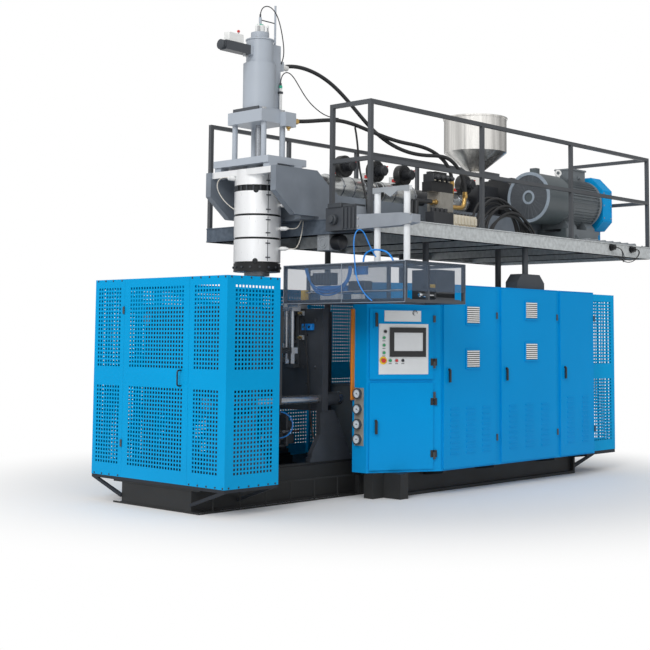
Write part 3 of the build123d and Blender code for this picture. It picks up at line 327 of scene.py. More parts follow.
def stepped(tree, axis, steps):
    """Paint that changes at set places along an axis: (up to, colour) pairs in millimetres."""
    parts = split(tree, "Object")
    last = None
    for (limit, below), (_, above) in zip(steps, steps[1:]):
        past = shader_node(tree, "Math", {1: limit * MM}, operation="GREATER_THAN")
        node_link(tree, parts, axis, past, 0)
        mix = shader_node(tree, "Mix", data_type="RGBA")
        mix.inputs[FIRST].default_value = linear(*below)
        mix.inputs[SECOND].default_value = linear(*above)
        node_link(tree, past, "Value", mix, SHARE)
        if last:
            node_link(tree, last, MIXED, mix, FIRST)
        last = mix
    return last


def blend_paint(tree, share, paint, output, colour):
    """Mix of a paint with a fixed colour by a share."""
    mix = shader_node(tree, "Mix", data_type="RGBA")
    mix.inputs[SECOND].default_value = linear(*colour)
    node_link(tree, share, "Result", mix, SHARE)
    node_link(tree, paint, output, mix, FIRST)
    return mix


def surface(name, colour, roughness=0.45, vary=0.08, waves=1.6, metallic=0.0,
            grain=120.0, bump=0.15, stretch=(1, 1, 1), dust=0.0, specular=0.4,
            axis=None, steps=(), under=None):
    """Painted or metal surface: slow change of tone, fine grain, dust low down.

    steps along an axis take the place of the one colour, and under is
    a painted shade: the dark colour given to the faces that look down.
    """
    material = bpy.data.materials.new(name)
    material.use_nodes = True
    tree = material.node_tree
    shader = tree.nodes["Principled BSDF"]
    shader.inputs["Metallic"].default_value = metallic
    shader.inputs["Specular IOR Level"].default_value = specular
    # For the hopper steel this change of tone is stretched into streaks that are painted
    # reflections.
    slow = noise(tree, waves, 5.0, stretch)
    tone = remap(tree, slow, "Fac", 1 - vary, 1 + vary, 0.3, 0.7)
    last = shader_node(tree, "VectorMath", {0: linear(*colour)[:3]}, operation="SCALE")
    output = "Vector"
    if steps:
        node_link(tree, stepped(tree, axis, steps), MIXED, last, 0)
    node_link(tree, tone, "Result", last, "Scale")
    # Painted shade: faces that look down blend to the dark under colour.
    if under:
        down = remap(tree, split(tree, "Normal"), "Z", 1.0, 0.0, -0.6, -0.4)
        last = blend_paint(tree, down, last, output, under)
        output = MIXED
    if dust:
        fall = remap(tree, split(tree, "Object"), "Z", dust, 0.0, 0.0, DUST_HEIGHT)
        last = blend_paint(tree, fall, last, output, DUST)
        output = MIXED
    node_link(tree, last, output, shader, "Base Color")
    fine = noise(tree, grain, 2.0, stretch)
    gloss = remap(tree, fine, "Fac", max(roughness - 0.07, 0.03), min(roughness + 0.09, 1.0))
    node_link(tree, gloss, "Result", shader, "Roughness")
    relief = shader_node(tree, "Bump", {"Strength": bump, "Distance": 0.0006})
    node_link(tree, fine, "Fac", relief, "Height")
    node_link(tree, relief, "Normal", shader, "Normal")
    return material


def clear_sheet(name, tint, alpha):
    """Clear plastic sheet with a faint uneven haze."""
    material = surface(name, tint, roughness=0.12, vary=0.05, waves=3.0, grain=8.0, bump=0.03)
    shader = material.node_tree.nodes["Principled BSDF"]
    shader.inputs["Alpha"].default_value = alpha
    return material


def glow(name, colour, strength):
    """Lit surface of the screen."""
    material = surface(name, colour, roughness=0.25, vary=0.04, waves=6.0, grain=300.0, bump=0.0)
    shader = material.node_tree.nodes["Principled BSDF"]
    shader.inputs["Emission Color"].default_value = linear(*colour)
    shader.inputs["Emission Strength"].default_value = strength
    return material


WHITE_STEEL = (238, 239, 240)
NEAR_BLACK = (26, 27, 29)
STEEL_GREY = (120, 124, 128)

AZURE = surface("azure_paint", (0, 153, 212), 0.5, 0.05, 0.9, dust=0.05, specular=0.06)
BLUE = surface("cabinet_paint", (0, 142, 208), 0.45, 0.05, 0.7, dust=0.05, specular=0.07)
COVER = surface("cover_paint", (12, 152, 216), 0.42, 0.07, 1.5, specular=0.12)
BLACK_PAINT = surface("base_paint", (34, 36, 38), 0.5, 0.25, 2.5, dust=0.08, specular=0.25)
FRAME_PAINT = surface("frame_paint", (0, 146, 204), 0.5, 0.06, 1.0, specular=0.06,
                      axis="Z", steps=((262, (52, 55, 60)), (ALL, (0, 146, 204))))
DARK_GREY = surface("dark_grey_paint", (62, 66, 71), 0.45, 0.14, 2.0)
CASTING = surface("casting_paint", (54, 58, 64), 0.5, 0.2, 4.0, grain=70, bump=0.4)
RAIL_PAINT = surface("rail_paint", (74, 77, 81), 0.4, 0.12, 3.0)
# The under colour is painted shade on the faces that look down.
PLATFORM_PAINT = surface(
    "platform_paint", (172, 176, 178), 0.6, 0.16, 22.0, grain=160, bump=0.3,
    specular=0.0, axis="X", steps=((440, (92, 101, 112)), (ALL, (186, 190, 191))),
    under=(34, 35, 38))
CYLINDER = surface("cylinder_paint", (168, 176, 186), 0.3, 0.04, 2.2, specular=0.6)
RAM = surface("ram_paint", (168, 176, 186), 0.3, 0.04, 2.2, specular=0.6, axis="X",
              steps=((-172, (64, 68, 74)), (ALL, (168, 176, 186))))
BED_PAINT = surface("bed_paint", (118, 126, 136), 0.4, 0.14, 3.5, specular=0.5)
SHIELD = surface("shield_steel", (216, 218, 217), 0.28, 0.1, 5.0, metallic=0.8,
                 stretch=(0.2, 6, 6), grain=60)
HEAD_STEEL = surface(
    "head_steel", WHITE_STEEL, 0.3, 0.03, 2.0, metallic=0.45, stretch=(5, 5, 0.3), grain=40,
    bump=0.04, specular=0.6, axis="Z",
    steps=((2262, STEEL_GREY), (2361, NEAR_BLACK), (3301, WHITE_STEEL), (ALL, (146, 153, 161))))
CHROME = surface("chrome", (222, 225, 228), 0.12, 0.04, 3.0, metallic=1.0, bump=0.02)
BAR_STEEL = surface("bar_steel", (160, 164, 170), 0.24, 0.08, 4.0, metallic=0.9, bump=0.05)
# The strong vertical streaks of tone in the hopper steel are painted reflections.
HOPPER_STEEL_PAINTED_REFLECTION = surface("hopper_steel", (222, 220, 216), 0.2, 0.3, 2.2, metallic=0.85,
                       stretch=(5, 5, 0.22), grain=40, bump=0.05)
ALUMINIUM = surface("aluminium", (214, 217, 219), 0.4, 0.03, 6.0, metallic=0.2)
ZINC = surface("zinc", (176, 178, 180), 0.35, 0.12, 20.0, metallic=0.7)
BRASS = surface("brass", (206, 170, 104), 0.3, 0.12, 14.0, metallic=0.9)
MOTOR = surface(
    "motor_paint", (116, 121, 127), 0.36, 0.08, 3.0, specular=0.5, axis="X",
    steps=((4400, (84, 93, 97)), (ALL, (112, 119, 124))))
MOTOR_RING = surface("motor_ring_paint", (146, 158, 170), 0.4, 0.06, 8.0)
GEAR_DARK = surface("gear_paint", (46, 48, 52), 0.35, 0.18, 4.0, specular=0.5)
RUBBER = surface("black_rubber", (30, 31, 33), 0.42, 0.25, 12.0, grain=220, specular=0.5)
LINES = surface(
    "hose_rubber", (30, 31, 33), 0.45, 0.15, 12.0, grain=220, axis="Z",
    steps=((3220, (150, 147, 140)), (ALL, (38, 39, 41))))
BLACK_PLASTIC = surface("black_plastic", (24, 25, 27), 0.34, 0.2, 20.0, specular=0.5)
WHITE_PLASTIC = surface("white_plastic", (230, 231, 230), 0.42, 0.04, 12.0)
CREAM = surface("cream_plastic", (222, 214, 196), 0.45, 0.08, 14.0)
BRAID = surface("braided_lead", (206, 202, 192), 0.5, 0.3, 60.0, grain=400, bump=0.5)
GREEN = surface("green_cap", (20, 150, 92), 0.3, 0.12, 60.0, specular=0.6)
TEAL = surface("green_ring", (60, 184, 150), 0.4, 0.08, 40.0)
RED = surface("red_cap", (196, 32, 30), 0.3, 0.12, 60.0, specular=0.6)
YELLOW = surface("yellow_paint", (230, 190, 40), 0.4, 0.1, 20.0)
CURTAIN = surface("curtain_paint", (214, 122, 44), 0.42, 0.1, 8.0, axis="X",
                  steps=((0, (40, 42, 46)), (ALL, (216, 128, 40))))
HOSE_BLUE = surface("hose_blue", (20, 132, 220), 0.3, 0.12, 25.0, specular=0.6)
OIL_TANK = surface("tank_paint", (120, 126, 130), 0.45, 0.1, 2.0)
ARM = surface("arm_paint", (122, 127, 134), 0.42, 0.1, 4.0, axis="Y",
              steps=((-1160, (142, 148, 156)), (ALL, (62, 66, 72))))
TAKE_OUT = surface("take_out_paint", (60, 63, 68), 0.3, 0.1, 6.0, specular=0.6, axis="Z",
                   steps=((2326, (66, 70, 76)), (ALL, (222, 225, 228))))
STONE_GREY = surface("stone_grey_paint", (98, 103, 109), 0.42, 0.1, 6.0)
PLATE_GREY = surface("plate_grey", (160, 156, 148), 0.45, 0.1, 14.0, metallic=0.3)
MID_GREY = surface("mid_grey_paint", (150, 155, 160), 0.42, 0.08, 5.0)
CLEAR = clear_sheet("clear_sheet", (96, 112, 132), 0.28)
PALE_EDGE = surface("sheet_edge", (186, 194, 202), 0.3, 0.06, 20.0, specular=0.6)
SCREEN = glow("screen_light", (196, 200, 208), 0.22)
DIAL = surface("dial_face", (206, 214, 222), 0.35, 0.04, 30.0)
SCREW_STEEL = surface("screw_steel", (120, 122, 126), 0.35, 0.15, 8.0, metallic=0.9)

SLOT_MATERIALS = {
    "base_black": BLACK_PAINT, "frame_grey": FRAME_PAINT, "guard_azure": AZURE,
    "cabinet_blue": BLUE, "gauge_black": PLATE_GREY, "curtain_orange": CURTAIN,
    "hinge_steel": DARK_GREY, "tank_grey": OIL_TANK, "lift_steel": DARK_GREY,
    "platen_grey": CASTING, "bar_chrome": BAR_STEEL, "stand_grey": CASTING,
    "panel_aluminium": ALUMINIUM, "button_green": GREEN, "button_red": RED,
    "knob_black": BLACK_PLASTIC, "latch_black": BLACK_PLASTIC,
    "platform_grey": PLATFORM_PAINT, "rail_grey": RAIL_PAINT, "bed_blue": BED_PAINT,
    "head_steel": HEAD_STEEL, "ram_blue": CYLINDER, "shield_steel": SHIELD,
    "gear_dark": GEAR_DARK, "hopper_steel": HOPPER_STEEL_PAINTED_REFLECTION, "motor_grey": MOTOR,
    "cover_blue": COVER, "hose_black": LINES, "arm_dark": ARM, "clear_guard": CLEAR,
    "gripper_steel": BAR_STEEL, "screw_steel": SCREW_STEEL,
}
# Material that a carried-over node takes in place of the one of its slot.
NODE_MATERIALS = {"take_out_unit": TAKE_OUT, "ram_cylinder": RAM}
SLOT_OF_NODE = {s["node"]: s["material_slot"] for s in frame["record"]["subparts"]}


def dress_frame():
    """Gives each carried-over node the material of its slot."""
    for name, obj in frame["nodes"].items():
        material = NODE_MATERIALS.get(name, SLOT_MATERIALS[SLOT_OF_NODE[name]])
        if not obj.data.materials:
            obj.data.materials.append(material)
        for slot in obj.material_slots:
            slot.material = material


# guards

HOLE_SHARE = 0.58
REAR_SHARE = 0.24
ROWS = ((365.0, 1130.0, 20), (1300.0, 2080.0, 20))
SHEET_LOW, SHEET_HIGH = 250.0, 2155.0


def cut_lines(low, high, windows, share):
    """Edges of the sheet and of the holes in each window, in order."""
    lines = [low]
    for start, stop, count in windows:
        pitch = (stop - start) / count
        edge = pitch * (1 - share) / 2
        for i in range(count):
            lines += [start + i * pitch + edge, start + (i + 1) * pitch - edge]
    return lines + [high]


def guard_sheet(name, body, face, u0, u1, window, columns, share=HOLE_SHARE):
    piece = Piece(face)
    piece.perforated(cut_lines(u0, u1, [(*window, columns)], share),
                     cut_lines(SHEET_LOW, SHEET_HIGH, ROWS, share), SHEET)
    return piece.finish(name, AZURE, body=body)


def cage():
    """Finely perforated sheets of the cage, its door, and the guard at the drive end."""
    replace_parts(guard_sheet("cage_sheet_far", "frame", LEFT_FACE, -985, -511,
                            (-936, -562), 9), "guard_panels")
    guard_sheet("cage_sheet_near", "frame", LEFT_FACE, 465, 985, (530, 887), 9)
    guard_sheet("cage_sheet_front", "frame", FRONT_FACE, -1267.5, -610, (-1177, -688), 12)
    guard_sheet("cage_sheet_rear", "frame", REAR_FACE, -950, 1267.5, (-860, 1177), 50,
                REAR_SHARE)
    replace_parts(guard_sheet("outer_sheet_end", "frame", END_GUARD, GUARD_NEAR, GUARD_REAR,
                            (GUARD_NEAR + 70, GUARD_REAR - 70), 50), "outer_guard")
    guard_sheet("outer_sheet_near", "frame", NEAR_GUARD, 4330, GUARD_END - SHEET,
                (4400, 4977), 14)
    guard_sheet("outer_sheet_rear", "frame", REAR_GUARD, -GUARD_END + SHEET, -952,
                (-4980, -1020), 96, REAR_SHARE)
    door = guard_sheet("cage_door_sheet", "cage_door", LEFT_FACE, -509, 463,
                       (-427, 390), 20)
    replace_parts(door, "cage_door")
    folds = Piece(LEFT_FACE)
    for u0, u1 in ((-509, -506.5), (460.5, 463)):
        folds.box(u0, u1, -20, -SHEET / 2, 252, 2153)
    folds.finish("cage_door_folds", AZURE, body="cage_door")
    handle = Piece(LEFT_FACE)
    handle.hose([(364, -1, 1150), (364, 30, 1150), (364, 46, 1165), (364, 46, 1220),
                 (364, 46, 1275), (364, 30, 1290), (364, -1, 1290)], 7.5, 12)
    handle.finish("cage_door_handle", BLACK_PLASTIC, body="cage_door")
    screws = Piece()
    for face, places in ((LEFT_FACE, (-940, -820, -700, -560, 500, 620, 740, 860, 960)),
                         (FRONT_FACE, (-1220, -1100, -980, -860, -740, -650))):
        screws.place = face
        for u in places:
            for z in (SHEET_LOW + 14, SHEET_HIGH - 14):
                screws.turned((u, 0, z), OUT, [(-1, 9), (3, 9), (6, 5)], 10)
    screws.finish("cage_screws", BLACK_PLASTIC, body="frame")


# operator panel

BUTTONS = ((176, 1605), (176, 1529), (176, 1453), (244, 1375), (313, 1375))
STOP = (169, 1375)
KEY = (382, 1375)
SELECTOR = (190, 1668)
INSTRUMENT = (513, 1859)
SCREEN_BOX = (282, 599, 1470, 1658)
BEZEL_BOX = (238, 631, 1412, 1709)
PLATE_FRONT = DOOR_FACE + 6
PANEL_FRONT = DOOR_FACE + 20


def hinge_leaf(piece, left, right, back, front, screw, z):
    """Leaf of a door hinge with its two screws."""
    piece.box(left, right, back, front, z - 36, z + 36)
    for dz in (-20, 20):
        piece.turned((screw, front, z + dz), OUT, [(-1, 6), (2, 5)], 10)


def operator_panel():
    """Screen with its black surround, button rings, marks and the instrument dial."""
    u0, u1, z0, z1 = SCREEN_BOX
    screen = Piece(CONTROL_FACE)
    screen.box(u0, u1, PANEL_FRONT - 9, PANEL_FRONT - 5, z0, z1)
    screen.finish("screen_glass", SCREEN, body="control_upper_door")
    a0, a1, b0, b1 = BEZEL_BOX
    bezel = Piece(CONTROL_FACE)
    bars = ((a0, u0 + 1, b0, b1), (u1 - 1, a1, b0, b1), (u0, u1, b0, z0 + 1),
            (u0, u1, z1 - 1, b1))
    for left, right, low, high in bars:
        bezel.box(left, right, PLATE_FRONT, PANEL_FRONT + 1.5, low, high)
    bezel.finish("screen_surround", BLACK_PLASTIC, body="control_upper_door", slot="knob_black")
    rings = Piece(CONTROL_FACE)
    for u, z in BUTTONS:
        rings.ring((u, PLATE_FRONT - 0.5, z), OUT, 5, 20, 14.6, 20)
    for (u, z), outer in ((SELECTOR, 22), (KEY, 19)):
        rings.ring((u, PLATE_FRONT - 0.5, z), OUT, 2.5, outer, outer - 4, 20)
    rings.finish("button_rings", ZINC, body="control_upper_door")
    guard = Piece(CONTROL_FACE)
    guard.ring((STOP[0], PLATE_FRONT - 0.5, STOP[1]), OUT, 4, 40, 23.5, 28)
    guard.finish("stop_ring", YELLOW, body="control_upper_door")
    marks = Piece(CONTROL_FACE)
    for u, z in BUTTONS + (KEY,):
        marks.box(u - 16, u + 16, PLATE_FRONT - 0.3, PLATE_FRONT + 0.7, z - 36, z - 29)
    marks.finish("button_marks", DARK_GREY, body="control_upper_door", slot="hinge_steel")
    dial = Piece(CONTROL_FACE)
    u, z = INSTRUMENT
    dial.ring((u, DOOR_FACE + 5.5, z), OUT, 5, 27, 21, 28)
    centre = Vector((u, DOOR_FACE + 8, z))
    for turn in range(6):
        way = Vector((math.cos(turn * math.pi / 3), 0, math.sin(turn * math.pi / 3)))
        dial.rod(centre + way * 4, centre + way * 22, 2.6, 6)
    dial.finish("instrument_dial", DARK_GREY, body="control_upper_door", slot="hinge_steel")
    leaves = {"control_upper_door": (1359,), "control_lower_door": (957, 430)}
    for body, heights in leaves.items():
        leaf = Piece(CONTROL_FACE)
        for z in heights:
            hinge_leaf(leaf, 690, 721, DOOR_FACE - 1, DOOR_FACE + 4, 704, z)
        leaf.finish("hinge_leaf_" + body, BLACK_PLASTIC, 1.0, body=body, slot="hinge_steel")
    fixed = Piece(CONTROL_FACE)
    for z in sum(leaves.values(), ()):
        hinge_leaf(fixed, 732, 762, -1, DOOR_FACE + 3, 748, z)
    fixed.finish("hinge_leaves_fixed", BLACK_PLASTIC, 1.0, body="frame", slot="hinge_steel")


def clock(turn):
    """Outward and sideways directions at a turn about the X axis."""
    return (Vector((0, math.cos(turn), math.sin(turn))),
            Vector((0, -math.sin(turn), math.cos(turn))))


def gauges():
    """Dials of the four pressure gauges: rim, pale face, ticks, hub and needle."""
    x = span("pressure_gauges")[0].x
    faces, rims, ticks = pieces(3)
    for i, z in enumerate((1040, 885, 734, 584)):
        centre = Vector((x, -806, z))
        faces.turned(centre - Vector((0.6, 0, 0)), RIGHT, [(0, 41), (4, 41)], 32)
        rims.ring(centre - Vector((5, 0, 0)), RIGHT, 30, 52, 42, 36)
        for k in range(11):
            way, cross = clock(math.radians(225 - 27 * k))
            cross *= 1.2
            a = centre + way * 31 - Vector((1.4, 0, 0))
            b = centre + way * 38 - Vector((1.4, 0, 0))
            ticks.prism([a - cross, b - cross, b + cross, a + cross], RIGHT)
        way, cross = clock(math.radians(215 - 12 * i))
        cross *= 2.2
        start = centre - Vector((2.4, 0, 0))
        ticks.prism([start - cross - way * 10, start + way * 34, start + cross - way * 10],
                    (1.2, 0, 0))
        ticks.turned(centre - Vector((3.4, 0, 0)), RIGHT, [(0, 6), (3, 6)], 16)
    faces.finish("gauge_faces", DIAL, body="frame")
    rims.finish("gauge_rims", DARK_GREY, 1.0, body="frame", slot="hinge_steel")
    ticks.finish("gauge_needles", BLACK_PLASTIC, body="frame")


def cabinet_grilles():
    """Slats over the filter openings of the cabinet doors."""
    wide, tall, proud = 213.0, 178.0, DOOR_FACE + 12
    for number, u, heights in ((1, 1908, (1851, 1388)), (2, 2986, (1921, 1461))):
        backs, slats = pieces(2, MAIN_FACE)
        left = u - wide / 2
        for z in heights:
            low = z - tall / 2
            backs.box(left, left + wide, proud - 1, proud + 0.4, low, low + tall)
            for k in range(8):
                v = low + 8 + k * 22
                slats.prism([(left, proud, v), (left, proud + 4, v + 2),
                             (left, proud + 1, v + 13)], (wide, 0, 0))
        backs.finish(f"grille_backs_{number}", BLACK_PLASTIC, body=f"cabinet_door_{number}")
        slats.finish(f"grille_slats_{number}", WHITE_PLASTIC, body=f"cabinet_door_{number}")


# head and cylinder

HEAD_RADIUS = 240.0
SEGMENTS = ((2361, 2588), (2609, 2825), (2846, 3078), (3140, 3300))
PLATFORM_LOW, PLATFORM_TOP = 2645.0, 2800.0
# Directions around the head's axis: its two dark discs, its strap seam and its plugs.
DISC_SIDE = math.radians(222.6)
SEAM = math.radians(253)
PLUG_SIDE, REAR_PLUG_SIDE = math.radians(297), math.radians(150)
PLUG_HEIGHTS, REAR_PLUG_HEIGHT = (2945, 2705, 2500), 3215


def around(angle, radius, height):
    """Point around the head's axis; angle 0 looks along +X."""
    return Vector((radius * math.cos(angle), radius * math.sin(angle), height))


def head_details():
    """Dark seams, strap joints with latches, plugs of the heater bands, flange bolts."""
    bands, bolts, straps, plugs = pieces(4)
    for z in (2588, 2825):
        bands.ring((0, 0, z + 1), UP, 19, 230, 222.4, 64)
    bands.ring((0, 0, 3079), UP, 60, 222, 205.4, 64)
    for k in range(20):
        t = k * math.pi / 10
        bolts.rod(around(t, 230, 3078.5), around(t, 230, 3139.5), 9, 12)
    for z in (2365, 3082):
        bands.turned(around(DISC_SIDE, HEAD_RADIUS - 12, z), around(DISC_SIDE, 1, 0),
                     [(0, 27), (16, 27), (20, 23)], 28)
    for k in range(16):
        t = k * math.pi / 8 + 0.15
        bolts.turned(around(t, HEAD_RADIUS - 1, 2305), around(t, 1, 0), [(0, 11), (12, 11)], 6)
    across = Vector((-math.sin(SEAM), math.cos(SEAM), 0))
    middle = around(SEAM, HEAD_RADIUS, 0)
    for low, high in SEGMENTS:
        corners = [middle + across * side + Vector((0, 0, low + 6)) for side in (-3, 3)]
        straps.prism([corners[0], corners[1], corners[1] + around(SEAM, 2.5, 0),
                      corners[0] + around(SEAM, 2.5, 0)], (0, 0, high - low - 12))
        for z in (low + 42, high - 42):
            latch = middle + Vector((0, 0, z))
            straps.rod(latch - across * 24 + around(SEAM, 7, 0),
                       latch + across * 24 + around(SEAM, 7, 0), 6, 10)
    for z in PLUG_HEIGHTS:
        plugs.turned(around(PLUG_SIDE, HEAD_RADIUS - 2, z), around(PLUG_SIDE, 1, 0),
                     [(0, 9), (10, 14), (18, 21), (72, 21), (84, 13), (100, 9)], 20)
    plugs.turned(around(REAR_PLUG_SIDE, HEAD_RADIUS - 2, REAR_PLUG_HEIGHT),
                 around(REAR_PLUG_SIDE, 1, 0.1), [(0, 16), (12, 26), (70, 26), (80, 12)], 20)
    bands.finish("head_bands", BLACK_PAINT, 1.0, slot="gear_dark")
    bolts.finish("head_bolts", DARK_GREY)
    straps.finish("head_straps", DARK_GREY)
    plugs.finish("heater_plugs", WHITE_PLASTIC)


TRAVEL_SENSOR = (219, -90)


def cylinder_details():
    """Fittings on the top of the cylinder, the servo valve, the port and the travel sensor."""
    dark, white, green, metal = pieces(4)
    for k in range(12):
        metal.turned(around(k * math.pi / 6, 122, 4673), UP, [(0, 10), (12, 10)], 6)
    for x in (-132, 132):
        for y in (-216, 216):
            metal.turned((x, y, 3904), UP, [(0, 34), (5, 34), (5, 27), (26, 27)], 6)
            metal.turned((x, y, 3409), UP, [(0, 44), (14, 44)], 24)
    white.ring((0, 0, 4748), UP, 78, 52, 40.5, 32)
    green.ring((0, 0, 4826), UP, 12, 36, 15.5, 28)
    dark.box(-7, 7, -7, 7, 4914, 4950)
    dark.rod((8, -3, 4890), (150, -56, 4872), 6, 10)
    for x, y in ((-62, -40), (58, -52), (10, 66)):
        metal.turned((x, y, 4747), UP, [(0, 16), (22, 16), (24, 11), (58, 11)], 6)
        white.turned((x, y, 4805), UP, [(0, 13), (24, 13), (30, 8)], 16)
    dark.turned((-503, 0, 4537), LEFT,
                [(0, 45), (8, 52), (20, 52), (22, 46), (30, 52), (42, 52), (48, 40)], 28)
    white.box(-468, -256, -40, 40, 4586, 4676, 10)
    metal.turned((-300, 0, 4676), UP, [(0, 7), (26, 7)], 12)
    metal.turned((-238, -20, 4492), DOWN, [(0, 20), (16, 20), (18, 12), (30, 12)], 16)
    metal.turned((-172, 10, 4492), DOWN, [(0, 16), (22, 16)], 6)
    white.turned((298, -10, 4438), RIGHT, [(0, 40), (26, 40), (32, 33), (84, 31), (90, 27.5)], 24)
    brass = Piece()
    brass.turned((206, -298, 3820), RIGHT, [(0, 36), (26, 36), (28, 30), (60, 30)], 6)
    brass.turned((135, -300, 3752), DOWN, [(0, 26), (20, 26), (24, 15), (40, 15)], 6)
    brass.finish("stool_fittings", BRASS, 1.0)
    x, y = TRAVEL_SENSOR
    white.turned((x, y, 3826), UP, [(0, 16), (366, 16)], 20)
    for z in (3800, 4190):
        green.turned((x, y, z), UP, [(0, 18), (28, 18)], 20)
    metal.rod((x, y, 3409), (x, y, 3802), 7, 12)
    dark.turned((x, y, 4217), UP, [(0, 12), (24, 12), (30, 8)], 14)
    for z in (3850, 4130):
        dark.box(199, 240, -106, -104.5, z, z + 26)
        dark.box(199, 201.5, -106, -70, z, z + 26)
    dark.rod((203, -80, 4143), (203, -68, 4143), 8, 10)
    dark.finish("cylinder_dark_parts", DARK_GREY, 1.0)
    white.finish("cylinder_pale_parts", WHITE_PLASTIC, 1.5)
    green.finish("cylinder_green_rings", TEAL)
    metal.finish("cylinder_fittings", ZINC, 1.0, slot="bar_chrome")
    knob = Piece()
    knob.turned((-300, 0, 4700), UP, [(0, 9), (6, 15), (18, 15), (26, 8)], 16)
    knob.finish("servo_knob", RED)


# drive

MOTOR_Y, MOTOR_Z, MOTOR_SKIN = -650.0, 3330.0, 278.0
COWL_LEFT, RIBS_LEFT, RIBS_RIGHT = 3910.0, 4400.0, 5060.0


def motor_details():
    """Cooling ribs, wire guard of the fan with its rings, eyebolt, top fittings."""
    axis = Vector((0, MOTOR_Y, MOTOR_Z))
    ribs = Piece()
    for i in range(44):
        way, cross = clock(2 * math.pi * (i + 0.5) / 44)
        cross *= 3.5
        a = Vector((RIBS_LEFT, 0, 0)) + axis + way * MOTOR_SKIN
        ribs.prism([a - cross, a + cross, a + cross * 0.6 + way * 27, a - cross * 0.6 + way * 27],
                   (RIBS_RIGHT - RIBS_LEFT, 0, 0))
    ribs.finish("motor_ribs", MOTOR)
    mesh, rings, metal = pieces(3)
    face = Vector((COWL_LEFT, 0, 0)) + axis
    for k in range(15):
        radius = 78 + 13 * k
        mesh.ring(face - Vector((5, 0, 0)), RIGHT, 6, radius + 3.5, radius - 3.5, 48)
    hub = face - Vector((4, 0, 0))
    for i in range(24):
        way = clock(math.radians(15 * i))[0]
        mesh.rod(hub + way * 60, hub + way * 275, 3, 6)
    mesh.finish("fan_guard", STONE_GREY)
    rim = face - Vector((9, 0, 0))
    rings.ring(rim, RIGHT, 12, 311, 272, 64)
    rings.ring(rim, RIGHT, 8, 86, 58, 40)
    for i in range(8):
        way = clock(math.radians(22.5 + 45 * i))[0]
        rings.turned(rim + way * 292, LEFT, [(-1, 10), (6, 10)], 6)
    rings.finish("fan_rings", MOTOR_RING, 1.0)
    metal.ring((4551, MOTOR_Y - 9, 3694), (0.7, 0.7, 0), 20, 42, 22, 28)
    metal.rod((4560, MOTOR_Y, 3640), (4560, MOTOR_Y, 3658), 24, 16)
    for x, y in ((4668, -765), (4668, -535), (5002, -765), (5002, -535)):
        metal.turned((x, y, 3759), UP, [(0, 9), (8, 9)], 6)
    metal.finish("motor_eye", WHITE_PLASTIC, 1.0, slot="hinge_steel")
    dark = Piece()
    dark.box(4000, 4085, MOTOR_Y - 45, MOTOR_Y + 45, 3630, 3700)
    for y in (-905, -885):
        for x in (4470, 4620):
            dark.rod((x, y, 2836), (x, y, 2900), 12, 6)
    for x in (4700, 4860):
        dark.turned((x, -760, 3650), NEAR, [(-2, 26), (14, 26), (16, 20), (34, 20)], 12)
    dark.finish("motor_fittings", MOTOR, 2.0)


def cover_details():
    """Fold lines and screws of the belt cover."""
    low, high = span("belt_cover")
    front = -914
    trims = Piece()
    for z in (3130, 3500):
        trims.box(low.x + 8, high.x - 8, front - 5, front, z - 7, z + 7)
    for x in (low.x + 2, high.x - 14):
        trims.box(x, x + 12, front - 6, front, 3110, 3520)
    trims.finish("cover_folds", COVER, 1.0)
    screws = Piece()
    for x in (low.x + 30, high.x - 30):
        for z in (3160, 3320, 3480):
            screws.turned((x, front - 1, z), NEAR, [(-1, 9), (7, 9)], 6)
    screws.finish("cover_screws", ZINC)


BLOWERS = (1095, 1618, 2083, 3221)
SHIELDS = ((960, 1740), (1830, 2400), (2900, 3400))
BARREL_Z = 3250.0
BLOWER_Z = 3452.0


def extruder():
    """Barrel, polished heater shields with straps, black blowers with their motors."""
    barrel = Piece()
    barrel.turned((300, 0, BARREL_Z), RIGHT, [(0, 60), (0, 95), (3180, 95), (3180, 60)], 40)
    for x, length in ((1744, 82), (2404, 30)):
        barrel.ring((x, 0, BARREL_Z), RIGHT, length, 112, 95, 36)
    barrel.finish("barrel_tube", GEAR_DARK)
    shields, straps = pieces(2)
    for start, end in SHIELDS:
        shields.turned((start, 0, BARREL_Z), RIGHT,
                       [(0, 96), (0, 122), (6, 125), (end - start - 6, 125),
                        (end - start, 122), (end - start, 96)], 48)
        count = max(2, round((end - start) / 190))
        for k in range(count + 1):
            x = start + 14 + k * (end - start - 46) / count
            straps.ring((x, 0, BARREL_Z), RIGHT, 18, 128, 124.6, 48)
            straps.box(x - 3, x + 21, -142, -124, BARREL_Z - 14, BARREL_Z + 14)
    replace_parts(shields.finish("barrel_shields", SHIELD), "extruder_barrel")
    straps.finish("shield_straps", BAR_STEEL)
    housings, motors, ducts, red = pieces(4)
    for x in BLOWERS:
        ducts.box(x - 62, x + 62, -168, -22, 3362, 3440)
        ducts.box(x - 74, x + 74, -180, -10, 3358, 3366)
        housings.turned((x, -128, BLOWER_Z), NEAR,
                        [(0, 64), (0, 108), (8, 120), (84, 120), (92, 114), (96, 100),
                         (96, 62)], 40)
        motors.turned((x, -224, BLOWER_Z), NEAR,
                      [(0, 66), (10, 66), (12, 56), (88, 56), (92, 50), (106, 46), (106, 20)], 32)
        for k in range(9):
            motors.ring((x, -244 - 8 * k, BLOWER_Z), NEAR, 3, 60, 55, 28)
        for k in range(12):
            turn = k * math.pi / 6
            motors.turned((x + 82 * math.cos(turn), -224, BLOWER_Z + 82 * math.sin(turn)), NEAR,
                          [(-1, 7), (4, 7)], 6)
        housings.box(x - 52, x + 20, -222, -130, 3540, 3560)
        red.box(x - 96, x - 62, -150, -96, 3372, 3408)
        red.turned((x + 48, -300, 3500), NEAR, [(0, 9), (16, 9)], 12)
    housings.finish("blower_housings", BLACK_PLASTIC, 1.5)
    motors.finish("blower_motors", GEAR_DARK)
    ducts.finish("blower_ducts", SHIELD, 2.0)
    red.finish("blower_red_parts", RED)


